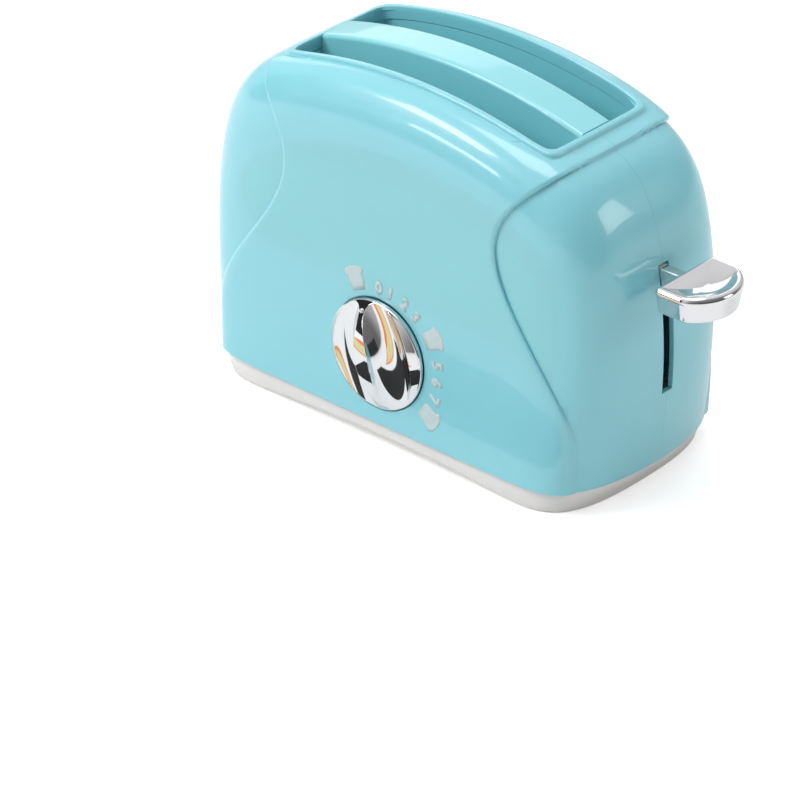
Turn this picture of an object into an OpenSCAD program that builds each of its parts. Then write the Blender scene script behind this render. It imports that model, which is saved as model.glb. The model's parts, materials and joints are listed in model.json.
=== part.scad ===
// Toy pop-up toaster: two moulded shell halves on an arched base, a sprung bread
// carriage worked by a lever, and a wind-up timer that lets the carriage go.
// X runs along the length with the lever at +X, the dial faces -Y, and Z is up.
// The origin is the centre of the footprint, on the table.

/* [Body] */
// Largest half-length that the end walls aim for
body_x = 97; // [92:0.5:102]
// Half-depth at mid-height
body_y = 42.3; // [40:0.1:46]
// Height of the bottom edge of the shells
body_z = 9.4; // [8:0.1:12]
// Height of the slot rim at its two ends
rim_z = 128; // [120:0.5:140]
// Rise of the arched top between the ends and the middle
arch = 8; // [4:0.5:11]
// Share by which the ends draw in at the bottom
tuck_x = 0.056; // [0.03:0.002:0.08]
// Share by which the front and back spread at the bottom
spread_y = 0.075; // [0.04:0.005:0.1]
// Wall thickness of the mouldings
wall = 2.2; // [1.8:0.1:2.6]
// How far the end cheeks lie below the centre panel
cheek_step = 1.5; // [0.8:0.1:2]
// Half-width of the centre panel at its waist
waist_x = 49; // [44:0.5:54]
// Height of the waist
waist_z = 96; // [90:0.5:100]
// Sideways place of the panel against the slots
panel_shift = 1.5; // [0:0.25:3]

/* [Bread slots] */
// Half-length of the slot opening
slot_x = 59; // [56:0.5:60]
// Half-depth of the opening over both slots
slot_y = 24.5; // [23.5:0.25:25.5]
// Half-depth of the bar between the slots
bar_y = 8; // [7:0.25:9]
// Width of the raised lip round the opening
lip_w = 2.6; // [2:0.1:3]
// Height of the raised lip
lip_h = 1.5; // [1:0.1:2]
// Height of the lower end of the bread guides
guide_z = 77; // [76:0.5:82]

/* [Base] */
// Half-length of the footprint
base_x = 84.8; // [82:0.2:87]
// Half-depth of the footprint
base_y = 44; // [42:0.2:45]
// Rise of the bottom edge between the corner feet
base_arch = 3.2; // [1:0.1:3.6]
// Radius of the screw posts and of the feet
post_r = 5; // [4.5:0.1:5.5]

/* [Lever] */
// Height of the top of the lever at rest
lever_z = 86.8; // [85:0.2:88]
// Travel of the lever and the carriage
travel = 40; // [36:0.5:41]
// Half-depth of the lever
lever_y = 15.6; // [13:0.2:17]
// Thickness of the lever
lever_t = 9.8; // [9:0.1:11]
// How far the flat side of the lever stands beyond the half-length of the body
lever_off = 0.8; // [0:0.1:2]
// Length of the lever from its flat side to its tip
lever_len = 22; // [19:0.2:25]
// Width of the slot that the lever runs in
track_w = 5.8; // [5.4:0.1:6.4]

/* [Dial] */
// Sideways place of the dial
dial_x = -0.6; // [-2:0.1:2]
// Height of the dial's centre
dial_z = 36.4; // [35:0.2:39]
// Radius of the dial
dial_r = 21; // [19:0.2:22]
// How far the crown of the dial stands out of the front face
dial_crown = 9.2; // [8:0.1:11]
// How far the edge of the dial stands out
dial_edge = 1.3; // [1:0.1:2.4]
// Half-width of the grip at its waist
grip_w = 3.5; // [3:0.1:4.4]
// Angle of the pointer from upright
pointer_a = -14; // [-20:1:-8]

/* [Works] */
// Tooth size of the timer wheels
gear_m = 0.8; // [0.76:0.01:0.8]
// Teeth on the wheel that the dial turns
drive_teeth = 36; // [34:1:36]
// Teeth on the second wheel
second_teeth = 32; // [30:1:32]
// Radius of the guide rods
rod_r = 1.6; // [1.4:0.1:1.8]
// Place of the guide rods along the length
rod_x = 68; // [67:0.5:69]
// Wire of the lift springs
wire_d = 0.9; // [0.7:0.05:1]
// Curls of each lift spring
curls = 9; // [7:1:10]

/* [Hidden] */

// Colours
aqua = [0.60, 0.85, 0.88];
aqua_deep = [0.42, 0.76, 0.80];
white = [0.88, 0.85, 0.85];
chrome = [0.80, 0.80, 0.82];
steel = [0.62, 0.64, 0.67];
natural = [0.90, 0.89, 0.84];

// Clearances
fit = 0.02;        // a pin that stays in its hole
run = 0.05;        // a shaft that turns or slides in its hole
gap = 0.3;         // between a moving piece and its neighbour
seat = 0.15;       // between mouldings that rest on each other
eps = 0.01;

// ---------------------------------------------------------------- body surface
// Every horizontal section is |x/a|^m + |y/b|^n = 1. h is the share of the height
// from the bottom edge of the shells (0) to the rim (1).
exp_x0 = 12.5;
exp_x1 = 5.9;
exp_y0 = 1.9;
exp_y1 = 5.2;
shoulder_x = [2.4, 3.4];
shoulder_y = [11.2, 2.0];
rim_x = slot_x + lip_w + 0.3;
rim_y = slot_y + lip_w + 0.3;

function exp_x(h) = exp_x0 + (exp_x1 - exp_x0) * pow(h, 1.5);
function exp_y(h) = exp_y0 + (exp_y1 - exp_y0) * pow(h, 1.5);
function shoulder(h, pq) = pow(max(0, 1 - pow(h, pq[0])), 1 / pq[1]);
function half_x(h) = rim_x + (body_x * (1 - tuck_x * pow(1 - h, 3)) - rim_x) * shoulder(h, shoulder_x);
function half_y(h) = rim_y + (body_y * (1 + spread_y * pow(1 - h, 3)) - rim_y) * shoulder(h, shoulder_y);
function top_z(x) = rim_z + arch * (1 - pow(x / slot_x, 2));

// A point of the section at share h: w runs from 0 at the end wall to 1 at the middle
// of the front, and inset moves the point inwards.
function section(w, h, inset) =
    let (m = exp_x(h), n = exp_y(h), q = pow(w, n) + pow(1 - w, m))
    [(half_x(h) - inset) * (1 - w) / pow(q, 1 / m), (half_y(h) - inset) * w / pow(q, 1 / n)];
function height(h, x, inset) = body_z + h * (top_z(x) - inset - body_z) - lip_h * pow(h, 8);
// How deep the front stands from the parting plane at a place (x, z)
function front_y(x, z, inset = 0) =
    let (h = (z - body_z) / (top_z(x) - body_z), a = half_x(h) - inset, b = half_y(h) - inset)
    b * pow(max(0, 1 - pow(abs(x) / a, exp_x(h))), 1 / exp_y(h));

// Edge of the centre panel: a waist, a sweep down to the base corners and a round
// shoulder up to a straight line beside the rim.
panel_top = 67.5;
panel_foot = 82.6;
panel_top_z = rim_z - 4;
panel_drop = 68;
function sweep(t) = let (s = min(1, max(0, t))) s * s * (3 - 2 * s);
function panel_x(z) = z > waist_z
    ? waist_x + (panel_top - waist_x) * pow(min(1, (z - waist_z) / (panel_top_z - waist_z)), 1.9)
    : waist_x + (panel_foot - waist_x) * sweep((waist_z - z) / panel_drop);
function roll(z) = 2.6 + 4 * sweep((waist_z - z) / panel_drop);
// How far a point lies down the rolled edge: 0 on the panel, 1 on the cheek
function drop(x, z) =
    let (t = min(1, max(0, (abs(x - panel_shift) - panel_x(z)) / roll(z) + 1)))
    1 - sqrt(max(0, 1 - t * t));

// Columns of the shell grid: along the cheek from the parting line, over the rolled
// edge, and across the panel.
cheek_cols = 9;
panel_cols = 10;
function where_x(x, h, lo = 0, hi = 1, i = 0) = i == 20 ? (lo + hi) / 2
    : let (w = (lo + hi) / 2) section(w, h, 0)[0] > x ? where_x(x, h, w, hi, i + 1) : where_x(x, h, lo, w, i + 1);
function edge_x(h, side, x = 60, i = 0) = i == 6 ? x
    : edge_x(h, side, min(0.96 * half_x(h), panel_x(height(h, x, 0)) + side * panel_shift), i + 1);
function column_x(h, side) =
    let (e = edge_x(h, side), r = roll(height(h, e, 0)), w = where_x(e, h))
    concat([for (j = [0:cheek_cols - 1]) section(w * pow(j / cheek_cols, 0.78), h, 0)[0]],
           [e, e - 0.35 * r, e - r]);
function row_x(h) =
    let (right = column_x(h, 1), left = column_x(h, -1), last = len(right) - 1,
         x0 = right[last], x1 = -left[last])
    concat(right, [for (j = [1:panel_cols - 1]) x0 + (x1 - x0) * j / panel_cols],
           [for (j = [last:-1:0]) -left[j]]);
// One row of the shell: its points from the right end round the front to the left end
function row(h, inset, step) =
    let (a = half_x(h), b = half_y(h), m = exp_x(h), n = exp_y(h), xs = row_x(h), last = len(xs) - 1)
    [for (j = [0:last])
        let (x = xs[j], z = height(h, x, 0), t = drop(x, z) * step + inset,
             y = j == 0 || j == last ? 0 : b * pow(max(0, 1 - pow(abs(x) / a, m)), 1 / n),
             fx = (a - t) / a, fy = (b - t) / b)
        [x * fx, -y * fy, height(h, x * fx, t)]];
// Rows round the slot: a rounded rectangle through the same columns
function rim_row(rx, ry, dz) =
    let (xs = row_x(1), a = half_x(1), last = len(xs) - 1, m = 18)
    [for (j = [0:last])
        let (u = xs[j] / a, y = j == 0 || j == last ? 0 : ry * pow(max(0, 1 - pow(abs(u), m)), 1 / m))
        [rx * u, -y, top_z(rx * u) + dz]];

levels = 19;
skirt = 3;
function share(s) = 1 - pow(1 - s, 2.5);
function shell_rows() = concat(
    [for (k = [0:levels - 1]) row(share(k / levels), 0, cheek_step)],
    [rim_row(slot_x + lip_w, slot_y + lip_w, -lip_h),
     rim_row(slot_x + lip_w - 0.5, slot_y + lip_w - 0.5, 0),
     rim_row(slot_x, slot_y, 0),
     rim_row(slot_x, slot_y, -wall - skirt),
     rim_row(slot_x + wall, slot_y + wall, -wall - skirt),
     rim_row(slot_x + wall, slot_y + wall, -wall - lip_h)],
    [for (k = [levels - 1:-1:0]) row(share(k / levels), wall, cheek_step)]);

// The flat faces on the parting plane, as four rows each: outer and inner levels in
// pairs, then the lip and the skirt
shell_n = 2 * levels + 6;
parting = concat(
    [for (k = [0:levels - 1]) [k, k + 1, shell_n - 2 - k, shell_n - 1 - k]],
    [[levels, levels + 1, levels + 2, levels + 5], [levels + 2, levels + 3, levels + 4, levels + 5]]);

// A closed solid from rows of points: each row joins the next, the last joins the
// first, and flat faces close the first and the last column.
module ring_solid(rows, ends) {
    n = len(rows);
    c = len(rows[0]);
    polyhedron(
        points = [for (r = rows) each r],
        faces = concat(
            [for (i = [0:n - 1], j = [0:c - 2]) [i * c + j, i * c + j + 1, ((i + 1) % n) * c + j]],
            [for (i = [0:n - 1], j = [0:c - 2])
                [((i + 1) % n) * c + j, i * c + j + 1, ((i + 1) % n) * c + j + 1]],
            [for (e = ends) each [[e[0], e[1], e[2]] * c, [e[0], e[2], e[3]] * c]],
            [for (e = ends) each [
                [e[2] * c + c - 1, e[1] * c + c - 1, e[0] * c + c - 1],
                [e[3] * c + c - 1, e[2] * c + c - 1, e[0] * c + c - 1]]]));
}

// ---------------------------------------------------------------- placing helpers
// A flat profile drawn in (x, z), from depth y towards the front by t
module upright(y, t) {
    translate([0, y, 0])
        rotate([90, 0, 0])
            linear_extrude(t)
                children();
}
// A round bar or hole along Y, from y0 (front) to y1 (back)
module rod_y(x, z, r, y0, y1, fn = 48) {
    translate([x, y1, z])
        rotate([90, 0, 0])
            cylinder(h = y1 - y0, r = r, $fn = fn);
}
module rod_z(x, y, r, z0, z1, fn = 48) {
    translate([x, y, z0])
        cylinder(h = z1 - z0, r = r, $fn = fn);
}

// ---------------------------------------------------------------- derived places
// Screw posts of the case, along Y, at the parting plane: x, z, and how far round the
// post the facets of the wall are counted, which cut more off the upper corners
case_posts = [[78, 25, 2], [-78, 25, 2], [75, 100, 3], [-75, 100, 3]];
case_post_r = 4.2;
case_screw_r = 1.5;
case_hole_r = 3.4;
screw_depth = 9;     // screw heads of the case sit this far behind the parting plane
base_post_x = 74;
base_post_y = 30;
base_floor = 4.6;
base_screw_r = 1.4;

face_y = front_y(0, dial_z);
cup_y = face_y - 1.9;        // floor of the dial's recess, as a depth
cup_back = cup_y - 2.4;
cup_r = dial_r + 0.4;
shaft_r = 2.5;

lever_x0 = body_x + lever_off;
lever_x1 = lever_x0 + lever_len;
track_x = half_x(0.4) - 8;
neck_z0 = lever_z - 8;
neck_h = 7;
neck_w = track_w - 0.8;
track_z0 = neck_z0 - travel - 1.5;
track_z1 = neck_z0 + neck_h + 1.6;

// Timer layers, as places along Y, from the front to the back
cam_y = -(cup_back - gap);
cam_t = 2;
plate_y = cam_y + cam_t + gap;
plate_t = 1.1;
layer_a = plate_y + plate_t + gap;
wheel_t = 1.8;
layer_b = layer_a + wheel_t + gap;
layer_c = layer_b + wheel_t + gap;
spring_t = 1.8;
back_y = layer_c + spring_t + gap;
works_end = back_y + plate_t;

pinion_teeth = 10;
fly_teeth = 8;
second_a = 60;
fly_a = 150;
dist_1 = gear_m * (drive_teeth + pinion_teeth) / 2;
dist_2 = gear_m * (second_teeth + fly_teeth) / 2;
second_at = [dial_x + dist_1 * cos(second_a), dial_z + dist_1 * sin(second_a)];
fly_at = [second_at[0] + dist_2 * cos(fly_a), second_at[1] + dist_2 * sin(fly_a)];
axle_r = 1;
pillar_r = 2.2;
flange_r = cup_r + 1.8;
pillar_off = (flange_r + pillar_r + 2 * gap) * sqrt(0.5) + 0.3;
pillars = [[dial_x - pillar_off, dial_z - pillar_off], [dial_x + pillar_off, dial_z - pillar_off],
           [dial_x - pillar_off, dial_z + 31.5], [dial_x + pillar_off, dial_z + 31.5]];
timer_screw_r = 0.9;

latch_at = [48, dial_z + 19];
finger_r = 12;
finger_a = 100;
tail_a = 55;

sleeve_r = 4;
sleeve_z0 = lever_z - 14.5;
sleeve_z1 = lever_z + 1.5;
tray_z = sleeve_z0 + 3.5;
tray_x = slot_x - 2;
lug_x = [57.8, 62.5];
lug_y = -(face_y - 5.8);
socket_z = 14;
bracket_z = 106;

// ---------------------------------------------------------------- casing
module shell_half() {
    ring_solid(shell_rows(), parting);
}

module lever_track() {
    translate([track_x, -track_w / 2, track_z0])
        cube([30, track_w, track_z1 - track_z0]);
}

module front_shell() {
    color(aqua)
        difference() {
            shell_half();
            rod_y(dial_x, dial_z, cup_r, -face_y - 6, -face_y + 2 * wall, 96);
            lever_track();
        }
}

module back_shell() {
    color(aqua)
        difference() {
            mirror([0, 1, 0])
                shell_half();
            lever_track();
            for (p = case_posts)
                rod_y(p[0], p[1], case_hole_r, front_y(p[0], p[1]) - 12, body_y + 10, 32);
        }
}

// Depth of the inside of the wall in front of a round boss, at the boss's shallowest
// edge: behind the panel, and behind the cheeks
function panel_y(x, z, r) =
    min([for (a = [0:15:345]) front_y(x + r * cos(a), z + r * sin(a), wall)]) - seat;
function wall_y(x, z, r) = panel_y(x, z, r) - cheek_step;

// Posts that stand inside the front half: four along Y for the case screws, and two
// upright ones for the base
module front_posts() {
    color(natural)
        difference() {
            union() {
                for (p = case_posts)
                    rod_y(p[0], p[1], case_post_r, -wall_y(p[0], p[1], case_post_r + p[2]), -seat / 2);
                for (x = [-base_post_x, base_post_x])
                    rod_z(x, -base_post_y, case_post_r - 0.4, body_z + seat, case_posts[0][1]);
            }
            for (p = case_posts)
                rod_y(p[0], p[1], case_screw_r + fit, -screw_depth, 1);
            for (x = [-base_post_x, base_post_x])
                rod_z(x, -base_post_y, base_screw_r + fit, 0, body_z + 9);
        }
}

module back_posts() {
    color(natural)
        difference() {
            union() {
                for (p = case_posts)
                    rod_y(p[0], p[1], case_post_r, seat / 2, wall_y(p[0], p[1], case_post_r + p[2]));
                for (x = [-base_post_x, base_post_x])
                    rod_z(x, base_post_y, case_post_r - 0.4, body_z + seat, case_posts[0][1]);
            }
            for (p = case_posts) {
                rod_y(p[0], p[1], case_screw_r + run, -1, screw_depth + 1);
                rod_y(p[0], p[1], case_hole_r, screw_depth, body_y + 10);
            }
            for (x = [-base_post_x, base_post_x])
                rod_z(x, base_post_y, base_screw_r + fit, 0, body_z + 9);
        }
}

// Shallow cup that the dial turns in: a disc in the hole of the front, with a flange
// behind the wall
module dial_cup() {
    flange_y = panel_y(dial_x, dial_z, flange_r);
    color(aqua)
        difference() {
            union() {
                rod_y(dial_x, dial_z, cup_r - 0.1, -cup_y, -cup_back, 96);
                rod_y(dial_x, dial_z, flange_r, -flange_y, -cup_back, 96);
            }
            rod_y(dial_x, dial_z, shaft_r + gap, -face_y, -cup_back + 1);
        }
}

// Base: an arched skirt with a floor, and a spigot that stands inside the shells
base_cols = 14;
base_exp = [12, 2.6];
function oval(a, b, m, n) =
    let (quarter = [for (j = [0:base_cols - 1])
            let (w = j / base_cols, q = pow(w, n) + pow(1 - w, m))
            [a * (1 - w) / pow(q, 1 / m), b * w / pow(q, 1 / n)]])
    concat([for (p = quarter) p],
           [for (j = [base_cols:-1:1]) let (w = j / base_cols, q = pow(w, n) + pow(1 - w, m))
               [-a * (1 - w) / pow(q, 1 / m), b * w / pow(q, 1 / n)]],
           [for (p = quarter) -p],
           [for (j = [base_cols:-1:1]) let (w = j / base_cols, q = pow(w, n) + pow(1 - w, m))
               [a * (1 - w) / pow(q, 1 / m), -b * w / pow(q, 1 / n)]]);
function foot_z(x) = base_arch * max(0, 1 - pow(x / (0.8 * base_x), 2));
function base_ring(inset, z, lift) =
    [for (p = oval(base_x - inset, base_y - inset, base_exp[0], base_exp[1])) [p[0], p[1], z + lift * foot_z(p[0])]];
function body_ring(inset, z) =
    [for (p = oval(half_x(0) - inset, half_y(0) - inset, exp_x0, exp_y0)) [p[0], p[1], z]];

// A closed solid from full rings, with a point at the middle of each end
module capped_solid(rings, z0, z1) {
    n = len(rings);
    c = len(rings[0]);
    last = n * c;
    polyhedron(
        points = concat([for (r = rings) each r], [[0, 0, z0], [0, 0, z1]]),
        faces = concat(
            [for (i = [0:n - 2], j = [0:c - 1]) [i * c + j, (i + 1) * c + j, i * c + (j + 1) % c]],
            [for (i = [0:n - 2], j = [0:c - 1])
                [(i + 1) * c + j, (i + 1) * c + (j + 1) % c, i * c + (j + 1) % c]],
            [for (j = [0:c - 1]) [last, j, (j + 1) % c]],
            [for (j = [0:c - 1]) [last + 1, (n - 1) * c + (j + 1) % c, (n - 1) * c + j]]));
}

module base_plate() {
    lip = cheek_step + 0.2;
    spigot = cheek_step + wall + 0.4;
    color(white)
        difference() {
            union() {
                capped_solid([
                    base_ring(3.4, base_floor, 0),
                    base_ring(2, 0, 1),
                    base_ring(0.4, 0, 1),
                    base_ring(0, 0.8, 0.9),
                    base_ring(-0.6, 3.4, 0.5),
                    body_ring(lip, body_z - seat),
                    body_ring(spigot, body_z - seat),
                    body_ring(spigot, body_z + 2.6),
                    body_ring(spigot + 1.6, body_z + 2.6),
                    body_ring(spigot + 1.6, base_floor + 1.6)],
                    base_floor, base_floor + 1.6);
                for (x = [-base_post_x, base_post_x], y = [-base_post_y, base_post_y])
                    rod_z(x, y, post_r, 0, body_z);
                for (x = [-rod_x, rod_x])
                    rod_z(x, 0, sleeve_r + 0.6, base_floor + 0.5, socket_z);
            }
            for (x = [-base_post_x, base_post_x], y = [-base_post_y, base_post_y]) {
                rod_z(x, y, base_screw_r + run, -1, body_z + 1);
                rod_z(x, y, 2.9, -1, 3.4);
            }
            for (x = [-rod_x, rod_x])
                rod_z(x, 0, rod_r + fit, 7, socket_z + 1);
        }
}

// Bread guides: two wells under the opening, with the bar between them flush with
// the arched rim, and brackets that hold the guide rods
arch_r = (slot_x * slot_x + arch * arch) / (2 * arch);

// A block of half-length x1 and half-depth y1, from z0 up to the arch or dz from it
module arched_block(x1, y1, z0, dz) {
    intersection() {
        translate([-x1, -y1, z0])
            cube([2 * x1, 2 * y1, rim_z + arch - z0 + 1]);
        rod_y(0, rim_z + arch - arch_r, arch_r + dz, -y1 - 1, y1 + 1, 360);
    }
}

module bread_well() {
    inner_x = slot_x - seat;
    outer_x = slot_x + wall - 0.1;
    outer_y = slot_y + wall - 0.1;
    bar_wall = 1.8;
    color(aqua_deep)
        difference() {
            union() {
                arched_block(outer_x, outer_y, guide_z, -wall - skirt - 2 * seat);
                arched_block(inner_x, bar_y, guide_z, 0);
                for (s = [-1, 1])
                    translate([s * (slot_x + 6.5) - 8, -6, bracket_z])
                        cube([16, 12, 4]);
            }
            for (s = [-1, 1])
                translate([-slot_x, s > 0 ? bar_y : -slot_y, guide_z - 1])
                    cube([2 * slot_x, slot_y - bar_y, 80]);
            arched_block(slot_x - bar_wall, bar_y - bar_wall, guide_z - 1, -bar_wall);
            for (x = [-rod_x, rod_x])
                rod_z(x, 0, rod_r + fit, bracket_z - 1, bracket_z + 5);
        }
}

// ---------------------------------------------------------------- carriage and lever
module tray(s) {
    translate([-tray_x, s > 0 ? bar_y + 1.4 : -slot_y + 1, tray_z - 2])
        cube([2 * tray_x, slot_y - bar_y - 2.4, 2]);
    for (x = [-48:12:48])
        translate([x - 0.8, s > 0 ? bar_y + 1.4 : -slot_y + 1, tray_z - 3.5])
            cube([1.6, slot_y - bar_y - 2.4, 1.6]);
}

module bread_carriage() {
    color(natural)
        difference() {
            union() {
                for (s = [-1, 1])
                    tray(s);
                for (s = [-1, 1]) {
                    translate([s > 0 ? tray_x - 1 : -rod_x, -slot_y + 1, sleeve_z0])
                        cube([rod_x - tray_x + 1, 2 * slot_y - 2, 3]);
                    rod_z(s * rod_x, 0, sleeve_r, sleeve_z0, sleeve_z1);
                    rod_z(s * rod_x, 0, sleeve_r + 2, sleeve_z0, neck_z0);
                }
                translate([lug_x[0], lug_y, sleeve_z0])
                    cube([lug_x[1] - lug_x[0], -slot_y + 2 - lug_y, 3]);
            }
            for (x = [-rod_x, rod_x])
                rod_z(x, 0, rod_r + run, sleeve_z0 - 1, sleeve_z1 + 1);
        }
}

module lever_stem() {
    bar_w = neck_w - 1;
    color(natural)
        difference() {
            union() {
                rod_z(rod_x, 0, sleeve_r + 2, neck_z0, neck_z0 + neck_h);
                translate([rod_x + sleeve_r, -bar_w / 2, neck_z0])
                    cube([track_x + 3 - rod_x - sleeve_r, bar_w, neck_h]);
                translate([track_x + 2, -1.2, neck_z0 + 1.2])
                    cube([lever_x0 + 8 - track_x - 2, 2.4, neck_h - 2.4]);
            }
            rod_z(rod_x, 0, sleeve_r + fit, neck_z0 - 1, neck_z0 + neck_h + 1);
        }
}

// The lever's outline is a flat side towards the body, two straight flanks, and a
// broad arc at the tip joined to the flanks by smaller arcs. Its edge is bevelled all
// round: each pair is how far the edge lies inside the outline, and a height.
tip_r = 17.5;
corner_r = 7;
edge_form = [[1.4, -lever_t], [0, -2], [0.5, -0.9], [1.4, -0.25], [2.8, 0]];
tip_x = lever_x1 - tip_r;
corner_y = lever_y - corner_r;
corner_x = tip_x + sqrt(pow(tip_r - corner_r, 2) - corner_y * corner_y);

// Half of the edge profile, from the axis out to r
module edge_profile(r) {
    polygon(concat([[0, -lever_t]], [for (e = edge_form) [r - e[0], e[1]]], [[0, 0]]));
}
module lever_body() {
    // broad arc, kept between the centres of the corner arcs
    intersection() {
        translate([tip_x, 0, 0])
            rotate_extrude($fn = 128) edge_profile(tip_r);
        translate([0, 0, -lever_t - 1])
            linear_extrude(lever_t + 2)
                polygon([[tip_x, 0],
                         [tip_x + 2 * (corner_x - tip_x), -2 * corner_y],
                         [lever_x1 + 5, -2 * corner_y], [lever_x1 + 5, 2 * corner_y],
                         [tip_x + 2 * (corner_x - tip_x), 2 * corner_y]]);
    }
    for (s = [-1, 1])
        translate([corner_x, s * corner_y, 0])
            rotate_extrude($fn = 96) edge_profile(corner_r);
    // straight part: bevelled along both flanks and along the flat side
    intersection() {
        translate([lever_x0, 0, 0])
            rotate([90, 0, 90])
                linear_extrude(corner_x - lever_x0) {
                    edge_profile(lever_y);
                    mirror([1, 0]) edge_profile(lever_y);
                }
        translate([corner_x + 0.5, lever_y + 1, 0])
            mirror([1, 0, 0])
                rotate([90, 0, 0])
                    linear_extrude(2 * lever_y + 2)
                        edge_profile(corner_x + 0.5 - lever_x0);
    }
}

module lever_knob() {
    dish_r = 10.4;
    dish = 2.2;
    ball = (dish_r * dish_r + dish * dish) / (2 * dish);
    color(chrome)
        difference() {
            union() {
                translate([0, 0, lever_z])
                    lever_body();
                translate([track_x + 3 + seat, -neck_w / 2, neck_z0])
                    cube([lever_x0 + 2 - track_x - 3, neck_w, neck_h]);
            }
            translate([(lever_x0 + lever_x1) / 2 + 0.4, 0, lever_z - dish + ball])
                sphere(r = ball, $fn = 128);
            translate([track_x, -1.2 - fit, neck_z0 + 1.2 - fit])
                cube([lever_x0 + 8 + fit - track_x, 2.4 + 2 * fit, neck_h - 2.4 + 2 * fit]);
        }
}

module guide_rod(x) {
    color(steel)
        rod_z(x, 0, rod_r, 7 + fit, bracket_z + 4);
}
module guide_rod_left() { guide_rod(-rod_x); }
module guide_rod_right() { guide_rod(rod_x); }

// Lift spring: one unbroken wire whose curls crowd a little at both ends
spring_r = 3.2;
spring_z0 = socket_z + wire_d / 2 + 0.1;
spring_z1 = sleeve_z0 - wire_d / 2 - 0.1;
rings_per_curl = 8;
spring_sides = 6;
function spring_point(t) =
    let (a = 360 * curls * t, k = 0.5 * curls, s = min(t, 1 - t),
         rise = t < 0.5 ? pow(2 * s, 1.12) / 2 : 1 - pow(2 * s, 1.12) / 2)
    [spring_r * cos(a), spring_r * sin(a), spring_z0 + (spring_z1 - spring_z0) * rise];
spring_rings = curls * rings_per_curl;
function wire_ring(i) =
    let (p = spring_point(i / spring_rings), a = 360 * i / rings_per_curl)
    [for (j = [0:spring_sides - 1]) let (b = 360 * j / spring_sides, r = wire_d / 2)
        p + r * [cos(a) * cos(b), sin(a) * cos(b), sin(b)]];
spring_pitch = [for (i = [rings_per_curl:spring_rings])
    spring_point(i / spring_rings)[2] - spring_point((i - rings_per_curl) / spring_rings)[2]];
echo(least_gap_between_curls = min(spring_pitch) - wire_d);

module lift_spring(x) {
    rings = [for (i = [0:spring_rings]) wire_ring(i)];
    c = spring_sides;
    n = spring_rings;
    color(steel)
        translate([x, 0, 0])
            polyhedron(
                points = [for (r = rings) each r],
                faces = concat(
                    [for (i = [0:n - 1], j = [0:c - 1])
                        [i * c + j, (i + 1) * c + j, i * c + (j + 1) % c]],
                    [for (i = [0:n - 1], j = [0:c - 1])
                        [(i + 1) * c + j, (i + 1) * c + (j + 1) % c, i * c + (j + 1) % c]],
                    [[for (j = [0:c - 1]) j], [for (j = [c - 1:-1:0]) n * c + j]]));
}
module lift_spring_left() { lift_spring(-rod_x); }
module lift_spring_right() { lift_spring(rod_x); }

// ---------------------------------------------------------------- dial
// The dial is a shallow dome with two crescent finger hollows, each part of a ring
// whose round section sinks into the dome. They leave a grip that is narrow in the
// middle and widens towards the pointer and the tail.
dome_rise = dial_crown - dial_edge;
dome_r = (dial_r * dial_r + dome_rise * dome_rise) / (2 * dome_rise);
hollow_r = 8.5;
hollow_bend = 42.5;
hollow_floor = dial_edge + 0.2;
hollow_off = grip_w + 0.97 * hollow_r;

module finger_hollow() {
    translate([hollow_off - hollow_bend, 0, hollow_floor + hollow_r])
        rotate_extrude($fn = 180)
            translate([hollow_bend, 0])
                circle(r = hollow_r, $fn = 72);
}

module dial_knob() {
    back = cup_y + 0.4;
    color(chrome)
        translate([dial_x, -face_y, dial_z])
            rotate([0, pointer_a, 0])
                rotate([90, 0, 0])
                    difference() {
                        union() {
                            rotate_extrude($fn = 96)
                                intersection() {
                                    translate([0, dial_crown - dome_r])
                                        circle(r = dome_r, $fn = 180);
                                    translate([0, back - face_y])
                                        square([dial_r, dial_crown + 4]);
                                }
                            translate([0, dial_r * 0.83, dial_crown - dome_rise * 0.69 - 0.4])
                                cylinder(h = 1, r = 1.3, $fn = 24);
                        }
                        for (s = [0, 1])
                            mirror([s, 0, 0])
                                finger_hollow();
                        translate([0, 0, back - face_y - 1])
                            cylinder(h = 6, r = shaft_r + fit, $fn = 48);
                    }
}

module dial_shaft() {
    color(natural)
        rod_y(dial_x, dial_z, shaft_r, -face_y - 2, works_end + 0.6);
}

// Finger that flicks the latch free as the timer runs out
module release_cam() {
    color(natural)
        upright(cam_y + cam_t, cam_t)
            translate([dial_x, dial_z])
                difference() {
                    union() {
                        circle(r = 5, $fn = 48);
                        rotate(finger_a)
                            translate([0, -1.5])
                                square([finger_r - 1.5, 3]);
                        rotate(finger_a)
                            translate([finger_r - 1.5, 0])
                                circle(r = 1.5, $fn = 24);
                    }
                    circle(r = shaft_r + fit, $fn = 48);
                }
}

// ---------------------------------------------------------------- timer
// Involute teeth: half the angle that a tooth fills at radius r
pressure = 25;
slack = 0.16;        // play between the teeth, along the pitch circle
function inv(r, rb) = r <= rb ? 0 : let (a = acos(rb / r)) tan(a) * 180 / PI - a;
function half_tooth(r, z) =
    let (rp = gear_m * z / 2, rb = rp * cos(pressure))
    90 / z - slack / rp * 45 / PI + inv(rp, rb) - inv(r, rb);
module gear_shape(z, turn) {
    rp = gear_m * z / 2;
    rb = rp * cos(pressure);
    tip = rp + 0.85 * gear_m;
    root = rp - 1.2 * gear_m;
    foot = max(root, rb);
    radii = [root, foot + (tip - foot) * 0.02, foot + (tip - foot) * 0.4, foot + (tip - foot) * 0.7, tip];
    rotate(turn)
        polygon([for (k = [0:z - 1]) each concat(
            [for (i = [0:4]) let (a = 360 * k / z - half_tooth(radii[i], z)) radii[i] * [cos(a), sin(a)]],
            [for (i = [4:-1:0]) let (a = 360 * k / z + half_tooth(radii[i], z)) radii[i] * [cos(a), sin(a)]])]);
}

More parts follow.
